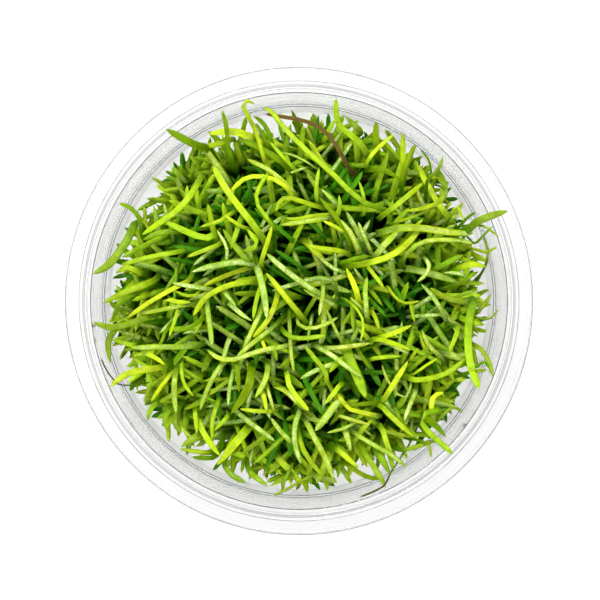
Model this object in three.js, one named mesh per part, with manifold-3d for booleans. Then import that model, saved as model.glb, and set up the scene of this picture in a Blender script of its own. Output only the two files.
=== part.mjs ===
// A clear plastic culture cup, open at the top, with a turf of small grass-leaved water plants
// growing on a layer of nutrient gel. Millimetres, +Z up, origin at the middle of the cup's foot.
import * as THREE from "three";
import { mergeVertices } from "three/addons/utils/BufferGeometryUtils.js";
import Module from "manifold-3d";

const wasm = await Module();
wasm.setup();

// The cup
const CUP_HEIGHT = 50;
const FLANGE_RADIUS = 45;
const STEP_RADIUS = 41.4; // where the flange steps down to the lid's seat
const MOUTH_RADIUS = 40;
const FLOOR_RADIUS = 38.7;
const WALL = 0.9;
const SEAT_DEPTH = 0.9;
const LIP_DROP = 2.6;
const FOOT_HEIGHT = 0.8;
const FOOT_INNER_RADIUS = 30;
const CORNER = 1.1;
const FLANGE_BEVEL = 0.7;
const SEAT_BEVEL = 0.2;
const MOUTH_BEVEL = 0.4;
const CUP_SIDES = 36;

// The gel
const GEL_TOP = 13;
const GEL_GAP = 0.3;
const MENISCUS = 1.2; // how far the gel creeps up the wall
const MENISCUS_BEND = 0.25; // the meniscus's height where it starts to steepen, as a share
const MENISCUS_REACH = 2.5; // the meniscus's width against its height

// The crowns
const PLANTLETS = 40;
const CROWN_FIELD_RADIUS = 31;
const GOLDEN_ANGLE = Math.PI * (3 - Math.sqrt(5));
const CROWN_FOOT_RADIUS = 1.9;
const CROWN_NECK_RADIUS = 1.3;
const CROWN_HEIGHT = 2.4;
const CROWN_SIDES = 6;

// Every leaf
const LEAF_ROOT = 1; // from the crown's axis
const LEAF_THICKNESS = 0.5;
const LEAF_GAP = 0.2; // between the leaves of two plantlets
const LEAF_ROWS = [0, 0.4, 0.7, 0.88, 1]; // shares of a leaf's length where its section is set
const WIDEST_AT = 0.5; // share of the length
const BASE_BREADTH = 0.45; // against the widest
const TIP_BLUNTNESS = 4;
const LEVELLING = 0.4; // how much a leaf's flat side turns up where the leaf rises steeply
const WALL_MARGIN = 1.2;
const EDGE_MARGIN = 1; // inside the flange's edge
const ABOVE_RIM = 0.8;
const MOST_LEAVES = 8; // on a plantlet
const FEWEST_LEAVES = 4;

// Upper leaves, which show from above. Each takes the highest layer where it has room.
const LAYER = 0.45;
const LAYERS = 26;
const ROOT_TRIES = 9;
const CROWNS_TRIED = 4;
const SOURCE_BACK = 4; // how far behind its visible stretch a leaf's crown is looked for
const ROOT_SPREAD = 2.2; // radians
const MIDDLE_ALONG = [0.35, 0.6];
const MIDDLE_SWAY = 1.8;
const MIDDLE_RISE = [0.5, 0.66];
const UPPER_TWIST = 0.3;
const DIP_SHARE = 0.3; // how much a leaf dips where it comes into sight, against its stretch
const DIP_LEAST = 1;
const DIP_MOST = 3.5;

// Lower leaves, which fill up the plantlets with few upper ones
const LOWER_TRIES = 60;
const LOWER_RISE = [17, 32];
const LOWER_REACH = [2.5, 12];
const LOWER_SWAY = 2.5;
const LOWER_DROOP = [-0.03, 0.2];
const LOWER_WIDTH = [1.1, 1.7];
const LOWER_TWIST = 0.7;
const LOWER_KNEE = { reach: 0.12, sway: 0.5, rise: 0.5 };
const LOWER_BEND = { reach: 0.5, sway: 0.8, rise: 0.93 };
const OUTER_SHORTENING = 0.2; // plantlets by the wall are this much lower
const OUTER_NARROWING = 0.5; // and spread this much less to the sides

// The turf's top is a low dome, and leaves that hang over the rim rest just above the flange.
const DOME_TOP = 52;
const DOME_FALL = 6;
const RIM_REST = 51.5;
const RIM_START = 38;
const RIM_SLOPE = 0.8;
const OVER_RIM = 38.3;

// Seen from straight above, a pixel is 0.1919 mm at the height of the cup's rim.
const PIXEL = 0.1919;
const VIEW_MIDDLE = [299, 301];
const EYE_HEIGHT = 950;

const TONES = {
  yellow: 0xa9c83a,
  pale: 0xc3d98a,
  mint: 0xb9dcae,
  lime: 0x8cc63c,
  green: 0x4f8f2a,
  olive: 0x7c8a3c,
  deep: 0x2f6a1f,
  brown: 0x8a4a32,
};

// The upper leaves, topmost first: tone, width in pixels, and the route in pixels seen from
// above, from where the leaf comes into sight to its tip.
const UPPER_LEAVES = [
  // Over the rim
  ["olive", 5, [141, 231], [140, 220], [132, 209], [119, 203]],
  ["olive", 8.5, [137, 222], [129, 237], [119, 253], [106, 267], [93, 274]],
  ["olive", 7, [153, 315], [140, 320], [125, 325], [108, 327], [93, 322]],
  ["brown", 1.6, [120, 385], [114, 380], [107, 371], [101, 358]],
  ["yellow", 7, [166, 366], [150, 369], [132, 372], [119, 379], [110, 387]],
  ["green", 8, [207, 148], [196, 145], [184, 139], [166, 129]],
  ["lime", 4.5, [266, 167], [262, 152], [256, 132], [248, 116], [243, 106], [248, 100], [255, 105]],
  ["lime", 6.5, [367, 155], [360, 143], [348, 133], [339, 125], [336, 114], [336, 98]],
  ["olive", 8, [469, 229], [475, 223], [485, 218], [497, 214], [508, 211]],
  ["olive", 2.5, [483, 226], [490, 230], [499, 237]],
  ["olive", 3.5, [474, 249], [487, 252], [497, 247]],
  ["olive", 2.5, [474, 317], [483, 319], [491, 318], [499, 309]],
  ["olive", 5, [473, 344], [482, 350], [489, 362], [493, 377]],
  ["lime", 6, [443, 410], [430, 411], [421, 418], [426, 429], [436, 439], [453, 454]],
  ["olive", 6, [360, 442], [366, 455], [374, 467], [386, 487]],
  ["brown", 2, [389, 476], [386, 484], [377, 490], [360, 497]],
  // Across the middle, on top
  ["pale", 7.5, [380, 233], [400, 228], [420, 228], [440, 231], [463, 234]],
  ["mint", 7.5, [258, 270], [262, 284], [265, 300], [267, 319]],
  ["pale", 5, [402, 260], [410, 251], [420, 243], [437, 240], [462, 241]],
  ["lime", 5.5, [347, 253], [335, 250], [320, 248], [306, 245]],
  ["pale", 4.5, [323, 283], [323, 294], [319, 316]],
  ["lime", 5, [261, 265], [265, 250], [269, 238], [272, 226]],
  ["mint", 6.5, [334, 302], [318, 293], [300, 281], [284, 269], [266, 253]],
  ["mint", 5, [338, 293], [332, 280], [318, 278], [295, 284], [272, 291]],
  ["yellow", 6, [304, 320], [291, 304], [279, 289], [266, 273]],
  ["yellow", 7, [267, 245], [255, 227], [240, 208], [226, 189], [213, 166]],
  ["yellow", 5.5, [385, 210], [360, 200], [332, 173], [305, 149], [281, 124], [270, 110], [262, 108]],
  ["yellow", 5, [294, 198], [283, 184], [266, 177], [246, 178], [231, 191]],
  ["lime", 5, [323, 208], [306, 203], [291, 198], [280, 200], [276, 212]],
  ["lime", 4.5, [274, 229], [266, 217], [256, 201], [259, 187], [268, 173]],
  ["lime", 5.5, [245, 252], [258, 244], [252, 235], [247, 229]],
  ["pale", 5.5, [331, 217], [315, 220], [300, 222], [281, 225]],
  ["lime", 4, [330, 214], [310, 216], [297, 219], [285, 218]],
  ["pale", 5.5, [276, 324], [264, 334], [251, 344], [237, 356]],
  ["pale", 5.5, [262, 307], [257, 320], [250, 335], [243, 351]],
  ["yellow", 4, [261, 339], [264, 346], [268, 354]],
  ["pale", 5.5, [290, 345], [272, 348], [252, 353], [236, 359], [221, 359], [207, 350]],
  ["lime", 5, [283, 331], [291, 337], [305, 338], [326, 335]],
  ["pale", 4.5, [289, 316], [290, 338], [291, 355], [294, 373]],
  ["mint", 5.5, [280, 322], [276, 338], [274, 352], [273, 370], [274, 389]],
  ["yellow", 5.5, [278, 291], [275, 305], [268, 320], [253, 338]],
  ["lime", 4.5, [266, 276], [260, 288], [256, 302], [253, 319]],
  ["yellow", 5.5, [262, 263], [246, 269], [228, 275], [202, 287]],
  ["yellow", 6, [382, 403], [389, 391], [398, 377], [408, 361]],
  ["yellow", 6.5, [350, 266], [372, 262], [392, 255], [407, 244], [422, 226]],
  ["pale", 7, [375, 257], [384, 245], [400, 230]],
  ["pale", 4.5, [373, 257], [366, 240], [358, 222]],
  ["pale", 6, [359, 254], [356, 244], [350, 232], [340, 219]],
  ["yellow", 4, [343, 232], [334, 226], [323, 221]],
  ["mint", 4.5, [346, 273], [333, 268], [324, 261], [316, 254]],
  ["yellow", 6, [359, 303], [356, 290], [351, 278], [346, 268]],
  ["green", 5, [342, 263], [355, 259], [370, 256]],
  ["mint", 5.5, [318, 347], [332, 355], [346, 366], [362, 377]],
  ["pale", 5.5, [320, 348], [333, 348], [350, 346], [371, 343]],
  ["lime", 11, [345, 344], [349, 358], [357, 376], [366, 398]],
  ["lime", 5, [322, 386], [328, 381], [325, 371], [317, 361], [305, 346]],
  ["mint", 5.5, [347, 359], [333, 364], [317, 370], [300, 379]],
  ["yellow", 5.5, [378, 338], [394, 333], [412, 325]],
  ["green", 9, [252, 366], [250, 382], [244, 396], [231, 414]],
  ["mint", 5.5, [236, 411], [249, 422], [260, 430], [275, 441]],
  ["yellow", 5.5, [287, 374], [289, 385], [296, 396], [309, 411]],
  ["pale", 5, [306, 409], [295, 400], [285, 391], [274, 387]],
  ["pale", 6, [268, 367], [265, 380], [255, 398]],
  ["lime", 9, [249, 427], [238, 440], [228, 452], [217, 465]],
  ["yellow", 6.5, [197, 419], [206, 437], [220, 456]],
  ["pale", 5.5, [228, 358], [218, 370], [210, 384], [200, 410]],
  ["yellow", 6.5, [158, 375], [171, 366], [182, 353], [196, 330]],
  ["yellow", 5, [145, 353], [156, 358], [165, 365]],
  ["olive", 7, [114, 330], [108, 342], [110, 363]],
  ["lime", 6.5, [202, 176], [190, 196], [175, 212], [158, 224], [142, 235]],
  ["mint", 5, [213, 290], [195, 287], [172, 283]],
  ["yellow", 5, [190, 279], [182, 284], [165, 293], [145, 305], [127, 318]],
  ["lime", 6, [258, 282], [240, 283], [224, 287], [205, 298], [193, 316]],
  ["lime", 4.5, [447, 192], [437, 203], [420, 209], [404, 211]],
  ["yellow", 6.5, [455, 228], [444, 212], [432, 193], [424, 178], [417, 164]],
  ["lime", 5.5, [381, 217], [398, 204], [423, 183]],
  ["lime", 6.5, [461, 318], [470, 322], [485, 325]],
  ["lime", 8.5, [473, 301], [470, 316], [468, 335], [470, 362], [479, 389]],
  ["mint", 5, [446, 320], [439, 306], [431, 294], [421, 284]],
  ["pale", 8, [341, 397], [333, 408], [324, 420], [315, 431]],
  ["yellow", 5, [340, 385], [334, 393], [325, 404]],
  ["yellow", 5, [379, 416], [365, 413], [350, 409], [336, 392]],
  ["pale", 4, [337, 415], [350, 419], [370, 425]],
  ["pale", 3.5, [358, 421], [345, 428], [327, 433]],
  ["pale", 5, [351, 430], [362, 438], [376, 446], [390, 454], [407, 467]],
  ["yellow", 6, [380, 405], [392, 417], [403, 427], [414, 437]],
  ["mint", 6, [300, 408], [296, 421], [294, 434], [296, 448], [301, 464]],
  ["pale", 6, [306, 421], [315, 439], [324, 455], [334, 479]],
  ["lime", 5.5, [298, 430], [302, 446], [310, 460], [323, 476]],
  ["pale", 5, [295, 445], [286, 437], [278, 428], [271, 418]],
  // Upper edge
  ["green", 5, [232, 162], [228, 145], [226, 125], [222, 110]],
  ["green", 5, [273, 148], [269, 133], [262, 122], [254, 116]],
  ["brown", 4.5, [350, 170], [342, 155], [331, 138], [318, 126], [300, 120], [284, 117], [265, 114]],
  ["green", 7, [377, 152], [376, 138], [376, 121]],
  ["yellow", 4.5, [365, 166], [372, 154], [383, 143], [394, 134]],
  ["olive", 6.5, [361, 132], [353, 124], [345, 116]],
  ["lime", 6, [404, 175], [403, 155], [403, 133]],
  ["green", 5, [402, 180], [406, 166], [411, 154], [416, 144]],
  ["olive", 4, [428, 180], [436, 172], [441, 165], [443, 156]],
  ["yellow", 8, [256, 141], [240, 133], [225, 132], [209, 134]],
  ["lime", 6, [232, 139], [218, 144], [203, 147]],
  ["green", 7, [292, 171], [275, 157], [258, 147], [238, 139]],
  ["lime", 4, [295, 170], [283, 157], [270, 142]],
  ["green", 5, [268, 148], [262, 134], [256, 123]],
  ["lime", 4.5, [317, 202], [316, 187], [319, 168]],
  ["mint", 5.5, [336, 204], [329, 196], [321, 189]],
  ["lime", 4, [364, 214], [364, 200], [359, 181]],
  ["lime", 5, [338, 214], [340, 205], [339, 195]],
  // Right edge
  ["green", 3.5, [459, 227], [467, 218], [476, 212]],
  ["olive", 9, [438, 174], [443, 182], [448, 190]],
  ["lime", 3, [452, 214], [456, 205], [464, 221]],
  ["olive", 3, [487, 262], [488, 250], [484, 237]],
  ["yellow", 6, [469, 252], [478, 257], [489, 262]],
  ["lime", 7, [460, 268], [473, 264], [487, 267]],
  ["mint", 5, [427, 260], [429, 268], [424, 276], [417, 282]],
  ["olive", 6, [470, 302], [457, 301], [444, 297], [430, 288]],
  ["mint", 4.5, [465, 276], [455, 273], [444, 273]],
  ["olive", 4.5, [475, 313], [483, 306], [491, 294]],
  ["lime", 5, [458, 326], [455, 338], [449, 352]],
  ["pale", 4.5, [441, 357], [432, 349], [426, 341], [422, 330]],
  ["lime", 4, [428, 354], [423, 345], [420, 335]],
  ["lime", 6, [405, 377], [418, 380], [435, 377], [450, 371], [466, 358]],
  ["lime", 3, [412, 375], [425, 366], [438, 358]],
  ["lime", 4.5, [368, 267], [375, 276], [384, 288]],
  ["pale", 5.5, [367, 318], [366, 303], [365, 290], [367, 277]],
  ["mint", 4, [360, 277], [354, 268]],
  // Lower right
  ["yellow", 6, [433, 419], [431, 406], [434, 396], [444, 392]],
  ["olive", 3.5, [437, 421], [446, 412], [454, 407], [463, 413]],
  ["olive", 5, [402, 450], [415, 447], [427, 443], [437, 440]],
  ["olive", 3, [429, 446], [431, 458]],
  ["lime", 6, [381, 427], [386, 441], [390, 455], [393, 470]],
  ["olive", 8, [376, 451], [383, 461], [390, 475]],
  ["yellow", 6, [355, 441], [361, 431], [372, 420]],
  ["pale", 7, [345, 429], [348, 440], [351, 451]],
  ["yellow", 6, [339, 451], [348, 459], [358, 467]],
  ["olive", 4, [384, 431], [398, 434], [414, 437]],
  ["mint", 5, [383, 399], [390, 407], [397, 415]],
  ["mint", 5, [416, 391], [410, 405], [404, 421]],
  ["green", 5, [345, 463], [356, 471], [368, 477], [380, 479]],
  ["lime", 5, [376, 339], [392, 343], [411, 350]],
  ["mint", 3.5, [384, 343], [396, 348], [409, 354]],
  ["lime", 4.5, [371, 359], [385, 357], [402, 356]],
  // Lower left
  ["olive", 3, [318, 472], [305, 479], [293, 486], [273, 496]],
  ["olive", 3, [292, 466], [286, 478], [281, 492]],
  ["olive", 6, [224, 464], [232, 475], [246, 483]],
  ["olive", 6, [250, 472], [258, 479], [268, 486]],
  ["olive", 6, [291, 476], [281, 480], [270, 486]],
  ["olive", 10, [200, 435], [190, 441], [181, 447]],
  ["lime", 5, [213, 453], [200, 452], [180, 449]],
  ["deep", 5, [215, 457], [203, 458], [192, 457]],
  ["lime", 4.5, [195, 412], [196, 422], [197, 434]],
  ["lime", 4.5, [227, 417], [214, 431]],
  ["lime", 5, [219, 400], [213, 418], [212, 441]],
  ["lime", 4.5, [273, 411], [258, 411], [240, 409]],
  ["pale", 4, [266, 384], [270, 398], [274, 411]],
  ["yellow", 5, [262, 390], [267, 411]],
  ["mint", 4.5, [234, 368], [230, 384], [228, 406]],
  ["green", 5, [236, 360], [238, 376], [239, 392]],
  ["pale", 6, [176, 371], [174, 388], [176, 414]],
  ["lime", 4, [181, 366], [184, 384], [194, 397]],
  ["yellow", 4.5, [173, 373], [162, 386], [151, 402]],
  ["olive", 3.5, [153, 373], [149, 387], [144, 403]],
  ["olive", 6, [157, 402], [151, 408], [147, 421]],
  ["deep", 8, [145, 374], [136, 380], [130, 391]],
  ["olive", 5, [168, 412], [164, 423], [170, 432]],
  ["pale", 6, [200, 345], [180, 347], [158, 347], [131, 348]],
  ["lime", 5, [149, 357], [137, 361], [126, 367]],
  ["green", 3.5, [167, 329], [160, 345], [151, 359]],
  ["pale", 6, [206, 300], [208, 315], [212, 346]],
  ["green", 4.5, [203, 319], [192, 326], [178, 332]],
  ["lime", 4, [178, 309], [175, 320], [169, 337]],
  // Left edge
  ["lime", 6.5, [155, 280], [142, 286], [128, 291], [103, 303]],
  ["lime", 6, [139, 273], [128, 267], [116, 273]],
  ["green", 4, [141, 291], [127, 299], [117, 308], [112, 321]],
  ["lime", 3.5, [201, 290], [194, 296], [184, 295], [175, 291]],
  ["lime", 7, [218, 233], [205, 238], [190, 233], [166, 222]],
  ["olive", 6, [180, 231], [160, 233], [143, 240]],
  ["lime", 5, [186, 250], [165, 254], [145, 258], [120, 265]],
  ["yellow", 4.5, [222, 243], [205, 250], [187, 257]],
  ["lime", 4.5, [234, 212], [220, 221], [200, 227]],
  ["yellow", 4, [245, 228], [234, 222], [224, 215]],
  ["lime", 5.5, [241, 218], [237, 231], [231, 249]],
  ["mint", 4, [226, 263], [227, 248], [217, 230]],
  ["mint", 4.5, [222, 289], [236, 306]],
];

const UP = new THREE.Vector3(0, 0, 1);

// Random numbers that come out alike every time: one sequence for each leaf and try.
const DICE_RANGE = 2147483647;
const DICE_STEP = 48271;
const KEY_STEP = 7919;
const KEY_WEIGHT = 104729;
const KEY_START = 12345;
const WARM_UP_ROLLS = 3;

function dice(...keys) {
  let state = keys.reduce(
    (sum, key) => (sum * KEY_STEP + key * KEY_WEIGHT + KEY_START) % DICE_RANGE,
    1,
  );
  const roll = () => {
    state = (state * DICE_STEP) % DICE_RANGE;
    return state / DICE_RANGE;
  };
  for (let i = 0; i < WARM_UP_ROLLS; i += 1) {
    roll();
  }
  return (low, high) => low + (high - low) * roll();
}

function point(x, y, z) {
  return new THREE.Vector3(x, y, z);
}

function radiusOf(place) {
  return Math.hypot(place.x, place.y);
}

function solidOf(geometry) {
  const bare = geometry.clone();
  bare.deleteAttribute("normal");
  bare.deleteAttribute("uv");
  const merged = mergeVertices(bare, 1e-4);
  return new wasm.Manifold(
    new wasm.Mesh({
      numProp: 3,
      vertProperties: new Float32Array(merged.attributes.position.array),
      triVerts: new Uint32Array(merged.index.array),
    }),
  );
}

function geometryOf(solid) {
  const mesh = solid.getMesh();
  const geometry = new THREE.BufferGeometry();
  geometry.setAttribute("position", new THREE.BufferAttribute(mesh.vertProperties, 3));
  geometry.setIndex(new THREE.BufferAttribute(mesh.triVerts, 1));
  geometry.computeVertexNormals();
  return geometry;
}

// A lathe about the Z axis, from [radius, height] pairs that start and end on the axis.
function turned(profile, sides) {
  const geometry = new THREE.LatheGeometry(
    profile.map(([radius, height]) => new THREE.Vector2(radius, height)),
    sides,
  );
  return geometry.rotateX(Math.PI / 2);
}

function innerRadius(z) {
  const share = THREE.MathUtils.clamp(z / CUP_HEIGHT, 0, 1);
  return FLOOR_RADIUS + (MOUTH_RADIUS - FLOOR_RADIUS) * share;
}

function cupGeometry() {
  const top = CUP_HEIGHT;
  const floor = FOOT_HEIGHT + WALL;
  return turned(
    [
      [0, FOOT_HEIGHT],
      [FOOT_INNER_RADIUS, FOOT_HEIGHT],
      [FOOT_INNER_RADIUS + FOOT_HEIGHT, 0],
      [FLOOR_RADIUS + WALL - CORNER, 0],
      [FLOOR_RADIUS + WALL, CORNER],
      [MOUTH_RADIUS + WALL, top - SEAT_DEPTH - WALL],
      [STEP_RADIUS + WALL / 2, top - SEAT_DEPTH - WALL],
      [STEP_RADIUS + WALL, top - WALL],
      [FLANGE_RADIUS - WALL, top - WALL],
      [FLANGE_RADIUS - WALL, top - LIP_DROP],
      [FLANGE_RADIUS, top - LIP_DROP],
      [FLANGE_RADIUS, top - FLANGE_BEVEL],
      [FLANGE_RADIUS - FLANGE_BEVEL, top],
      [STEP_RADIUS + SEAT_BEVEL, top],
      [STEP_RADIUS - SEAT_BEVEL, top - SEAT_DEPTH],
      [MOUTH_RADIUS + MOUTH_BEVEL, top - SEAT_DEPTH],
      [MOUTH_RADIUS, top - SEAT_DEPTH - MOUTH_BEVEL],
      [innerRadius(floor), floor + CORNER],
      [innerRadius(floor) - CORNER, floor],
      [0, floor],
    ],
    CUP_SIDES,
  );
}

function gelGeometry() {
  const floor = FOOT_HEIGHT + WALL + GEL_GAP;
  const reach = (z) => innerRadius(z) - GEL_GAP;
  return turned(
    [
      [0, floor],
      [reach(floor) - CORNER, floor],
      [reach(floor), floor + CORNER],
      [reach(GEL_TOP), GEL_TOP + MENISCUS],
      [reach(GEL_TOP) - MENISCUS, GEL_TOP + MENISCUS * MENISCUS_BEND],
      [reach(GEL_TOP) - MENISCUS * MENISCUS_REACH, GEL_TOP],
      [0, GEL_TOP],
    ],
    CUP_SIDES,
  );
}

// Crowns stand on the gel in a sunflower spiral, which spaces them evenly.
function crownPlace(index) {
  const radius = CROWN_FIELD_RADIUS * Math.sqrt((index + 0.5) / PLANTLETS);
  const angle = index * GOLDEN_ANGLE;
  return point(radius * Math.cos(angle), radius * Math.sin(angle), GEL_TOP);
}

function crownSolid(place) {
  const geometry = new THREE.CylinderGeometry(
    CROWN_NECK_RADIUS,
    CROWN_FOOT_RADIUS,
    CROWN_HEIGHT,
    CROWN_SIDES,
  );
  geometry.rotateX(Math.PI / 2);
  geometry.translate(place.x, place.y, GEL_TOP + CROWN_HEIGHT / 2);
  return solidOf(geometry);
}

// How wide a leaf is at a share of its length, against its widest.
function breadth(share) {
  if (share < WIDEST_AT) {
    return BASE_BREADTH + ((1 - BASE_BREADTH) * share) / WIDEST_AT;
  }
  const toTip = (share - WIDEST_AT) / (1 - WIDEST_AT);
  return Math.sqrt(Math.max(0, 1 - toTip ** TIP_BLUNTNESS));
}

// A leaf's place and directions at a share of its length: along, across, and out of its upper side.
function frameAt(leaf, share) {
  const place = leaf.rib.getPointAt(share);
  const along = leaf.rib.getTangentAt(share);
  const across = along.clone().addScaledVector(leaf.heading, LEVELLING).cross(UP);
  across.addScaledVector(along, -across.dot(along)).normalize();
  across.applyAxisAngle(along, leaf.twist * share);
  const upper = across.clone().cross(along);
  return { place, along, across, upper };
}

// A leaf is a three-sided cone bent along its rib: two edges and a keel. swell grows it on all sides.
function bladeSolid(leaf, swell = 0) {
  const rows = LEAF_ROWS.length - 1;
  const geometry = new THREE.ConeGeometry(1, 1, 3, rows);
  const places = geometry.attributes.position;
  const corner = new THREE.Vector3();
  for (let i = 0; i < places.count; i += 1) {
    corner.fromBufferAttribute(places, i);
    const row = Math.round((corner.y + 0.5) * rows);
    const share = LEAF_ROWS[row];
    const { place, along, across, upper } = frameAt(leaf, share);
    const radius = 1 - row / rows;
    if (radius > 0) {
      const side = -corner.x / radius / Math.sin(Math.PI / 3);
      const depth = (corner.z / radius + 0.5) / 1.5;
      place.addScaledVector(across, side * (leaf.width * 0.5 * breadth(share) + swell));
      place.addScaledVector(upper, swell - depth * (LEAF_THICKNESS + 2 * swell));
    } else {
      place.addScaledVector(along, swell);
    }
    places.setXYZ(i, place.x, place.y, place.z);
  }
  return solidOf(geometry);
}

function ribThrough(places) {
  return new THREE.CatmullRomCurve3(places, false, "centripetal");
}

// Keeps a place inside the cup's wall, or inside the flange's edge above the rim.
function keptInside(place) {
  const isAbove = place.z > CUP_HEIGHT + ABOVE_RIM;
  const most = isAbove ? FLANGE_RADIUS - EDGE_MARGIN : innerRadius(place.z) - WALL_MARGIN;
  const radius = radiusOf(place);
  if (radius > most) {
    place.x *= most / radius;
    place.y *= most / radius;
  }
  return place;
}

// Where a pixel of the view from above lies at a given height.
function seenAt([column, row], height) {
  const scale = (PIXEL * (EYE_HEIGHT - height)) / (EYE_HEIGHT - CUP_HEIGHT);
  return point((column - VIEW_MIDDLE[0]) * scale, (VIEW_MIDDLE[1] - row) * scale, height);
}

// How high a leaf of the top layer lies at a distance from the middle.
function restHeight(radius, isOverRim) {
  const dome = DOME_TOP - DOME_FALL * (radius / RIM_START) ** 2;
  const rest = RIM_REST - RIM_SLOPE * Math.max(0, RIM_START - radius);
  return isOverRim ? Math.max(dome, rest) : dome;
}

// The stretch of a leaf that shows. Leaves over the rim stack upwards, and all others downwards.
function visibleStretch(route, layer) {
  const flat = route.map((pixel) => seenAt(pixel, CUP_HEIGHT));
  const isOverRim = flat.some((place) => radiusOf(place) > OVER_RIM);
  const length = flat[0].distanceTo(flat[flat.length - 1]);
  const dip = THREE.MathUtils.clamp(DIP_SHARE * length, DIP_LEAST, DIP_MOST);
  const shift = isOverRim ? layer * LAYER : -layer * LAYER;
  return route.map((pixel, i) => {
    const height = restHeight(radiusOf(flat[i]), isOverRim) + shift;
    return seenAt(pixel, i === 0 ? height - dip : height);
  });
}

// An upper leaf, from a crown to its tip.
function upperLeaf([tone, pixels, ...route], crown, layer, attempt) {
  const pick = dice(...route[route.length - 1], attempt);
  const stretch = visibleStretch(route, layer);
  const start = stretch[0];
  const tip = stretch[stretch.length - 1];
  const azimuth = Math.atan2(start.y - crown.y, start.x - crown.x) + pick(-ROOT_SPREAD, ROOT_SPREAD);
  const root = point(
    crown.x + LEAF_ROOT * Math.cos(azimuth),
    crown.y + LEAF_ROOT * Math.sin(azimuth),
    GEL_TOP + CROWN_HEIGHT / 2,
  );
  const middle = root.clone().lerp(start, pick(...MIDDLE_ALONG));
  middle.x += pick(-MIDDLE_SWAY, MIDDLE_SWAY);
  middle.y += pick(-MIDDLE_SWAY, MIDDLE_SWAY);
  middle.z = GEL_TOP + pick(...MIDDLE_RISE) * (start.z - GEL_TOP);
  const rib = ribThrough([root, keptInside(middle), ...stretch]);
  const heading = point(tip.x - start.x, tip.y - start.y, 0).normalize();
  return { rib, heading, tone, width: pixels * PIXEL, twist: pick(-UPPER_TWIST, UPPER_TWIST) };
}

// A lower leaf, which grows from its crown in a direction of its own, further outwards by the wall.
function lowerLeaf(crown, index, slot, attempt) {
  const pick = dice(index, slot, attempt);
  const outwardness = radiusOf(crown) / CROWN_FIELD_RADIUS;
  const outward = Math.atan2(crown.y, crown.x);
  const spread = Math.PI * (1 - OUTER_NARROWING * outwardness);
  const azimuth = outward + pick(-spread, spread);
  const heading = point(Math.cos(azimuth), Math.sin(azimuth), 0);
  const across = point(-heading.y, heading.x, 0);
  const rise = pick(...LOWER_RISE) * (1 - OUTER_SHORTENING * outwardness ** 2);
  const reach = pick(...LOWER_REACH);
  const sway = pick(-LOWER_SWAY, LOWER_SWAY);
  const droop = pick(...LOWER_DROOP) * reach;
  const at = (along, side, height) => {
    const place = crown.clone().addScaledVector(heading, along).addScaledVector(across, side);
    return keptInside(place.setZ(GEL_TOP + height));
  };
  const bendAt = (bend, start) =>
    at(start + bend.reach * reach, bend.sway * sway, bend.rise * rise);
  const rib = ribThrough([
    at(LEAF_ROOT, 0, CROWN_HEIGHT / 2),
    bendAt(LOWER_KNEE, LEAF_ROOT),
    bendAt(LOWER_BEND, 0),
    at(reach, 0, rise - droop),
  ]);
  const twist = pick(-LOWER_TWIST, LOWER_TWIST);
  return { rib, heading, tone: "green", width: pick(...LOWER_WIDTH), twist };
}

const cup = solidOf(cupGeometry());
const crowns = Array.from({ length: PLANTLETS }, (_, index) => crownPlace(index));
const leafCounts = crowns.map(() => 0);
const leafTones = crowns.map(() => []);
const placed = []; // every crown and leaf so far: its plantlet, solid, box and rib points
const RIB_STEPS = 60;
const TOO_CLOSE = 0.5;

function boxesMeet(a, b) {
  return [0, 1, 2].every((axis) => a.min[axis] < b.max[axis] && b.min[axis] < a.max[axis]);
}

// A quick test of two ribs, before the exact one of the solids.
function ribsMeet(points, others) {
  return points.some((place) =>
    others.some((other) => place.distanceToSquared(other) < TOO_CLOSE ** 2),
  );
}

// A leaf keeps its gap to the cup and to other plantlets, and doesn't cut its own plantlet's leaves.
function isClear(leaf, index) {
  const points = leaf.rib.getSpacedPoints(RIB_STEPS);
  if (placed.some((other) => other.points && ribsMeet(points, other.points))) {
    return false;
  }
  const blade = bladeSolid(leaf);
  const swollen = bladeSolid(leaf, LEAF_GAP);
  const box = swollen.boundingBox();
  if (box.min[2] < GEL_TOP + LEAF_GAP || !swollen.intersect(cup).isEmpty()) {
    return false;
  }
  return placed.every((other) => {
    if (!boxesMeet(box, other.box)) {
      return true;
    }
    if (other.index !== index) {
      return swollen.intersect(other.solid).isEmpty();
    }
    return other.isCrown || blade.intersect(other.solid).isEmpty();
  });
}

function keepCrown(index, solid) {
  placed.push({ index, isCrown: true, solid, box: solid.boundingBox() });
}

function keepLeaf(index, leaf) {
  const solid = bladeSolid(leaf);
  const points = leaf.rib.getSpacedPoints(RIB_STEPS);
  placed.push({ index, isCrown: false, solid, points, box: solid.boundingBox() });
  leafCounts[index] += 1;
  leafTones[index].push(leaf.tone);
}

// The crowns nearest to where a leaf would come from, with room for one more leaf.
function nearCrowns(route) {
  const start = seenAt(route[0], CUP_HEIGHT);
  const ahead = seenAt(route[1], CUP_HEIGHT).sub(start).normalize();
  const source = start.addScaledVector(ahead, -SOURCE_BACK).setZ(GEL_TOP);
  return crowns
    .map((crown, index) => ({ crown, index, distance: crown.distanceTo(source) }))
    .filter(({ index }) => leafCounts[index] < MOST_LEAVES)
    .sort((a, b) => a.distance - b.distance)
    .slice(0, CROWNS_TRIED);
}

function placeUpperLeaf(entry) {
  const [, , ...route] = entry;
  const near = nearCrowns(route);
  for (let layer = 0; layer < LAYERS; layer += 1) {
    for (const { crown, index } of near) {
      for (let attempt = 0; attempt < ROOT_TRIES; attempt += 1) {
        const leaf = upperLeaf(entry, crown, layer, attempt);
        if (isClear(leaf, index)) {
          keepLeaf(index, leaf);
          return;
        }
      }
    }
  }
}

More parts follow.
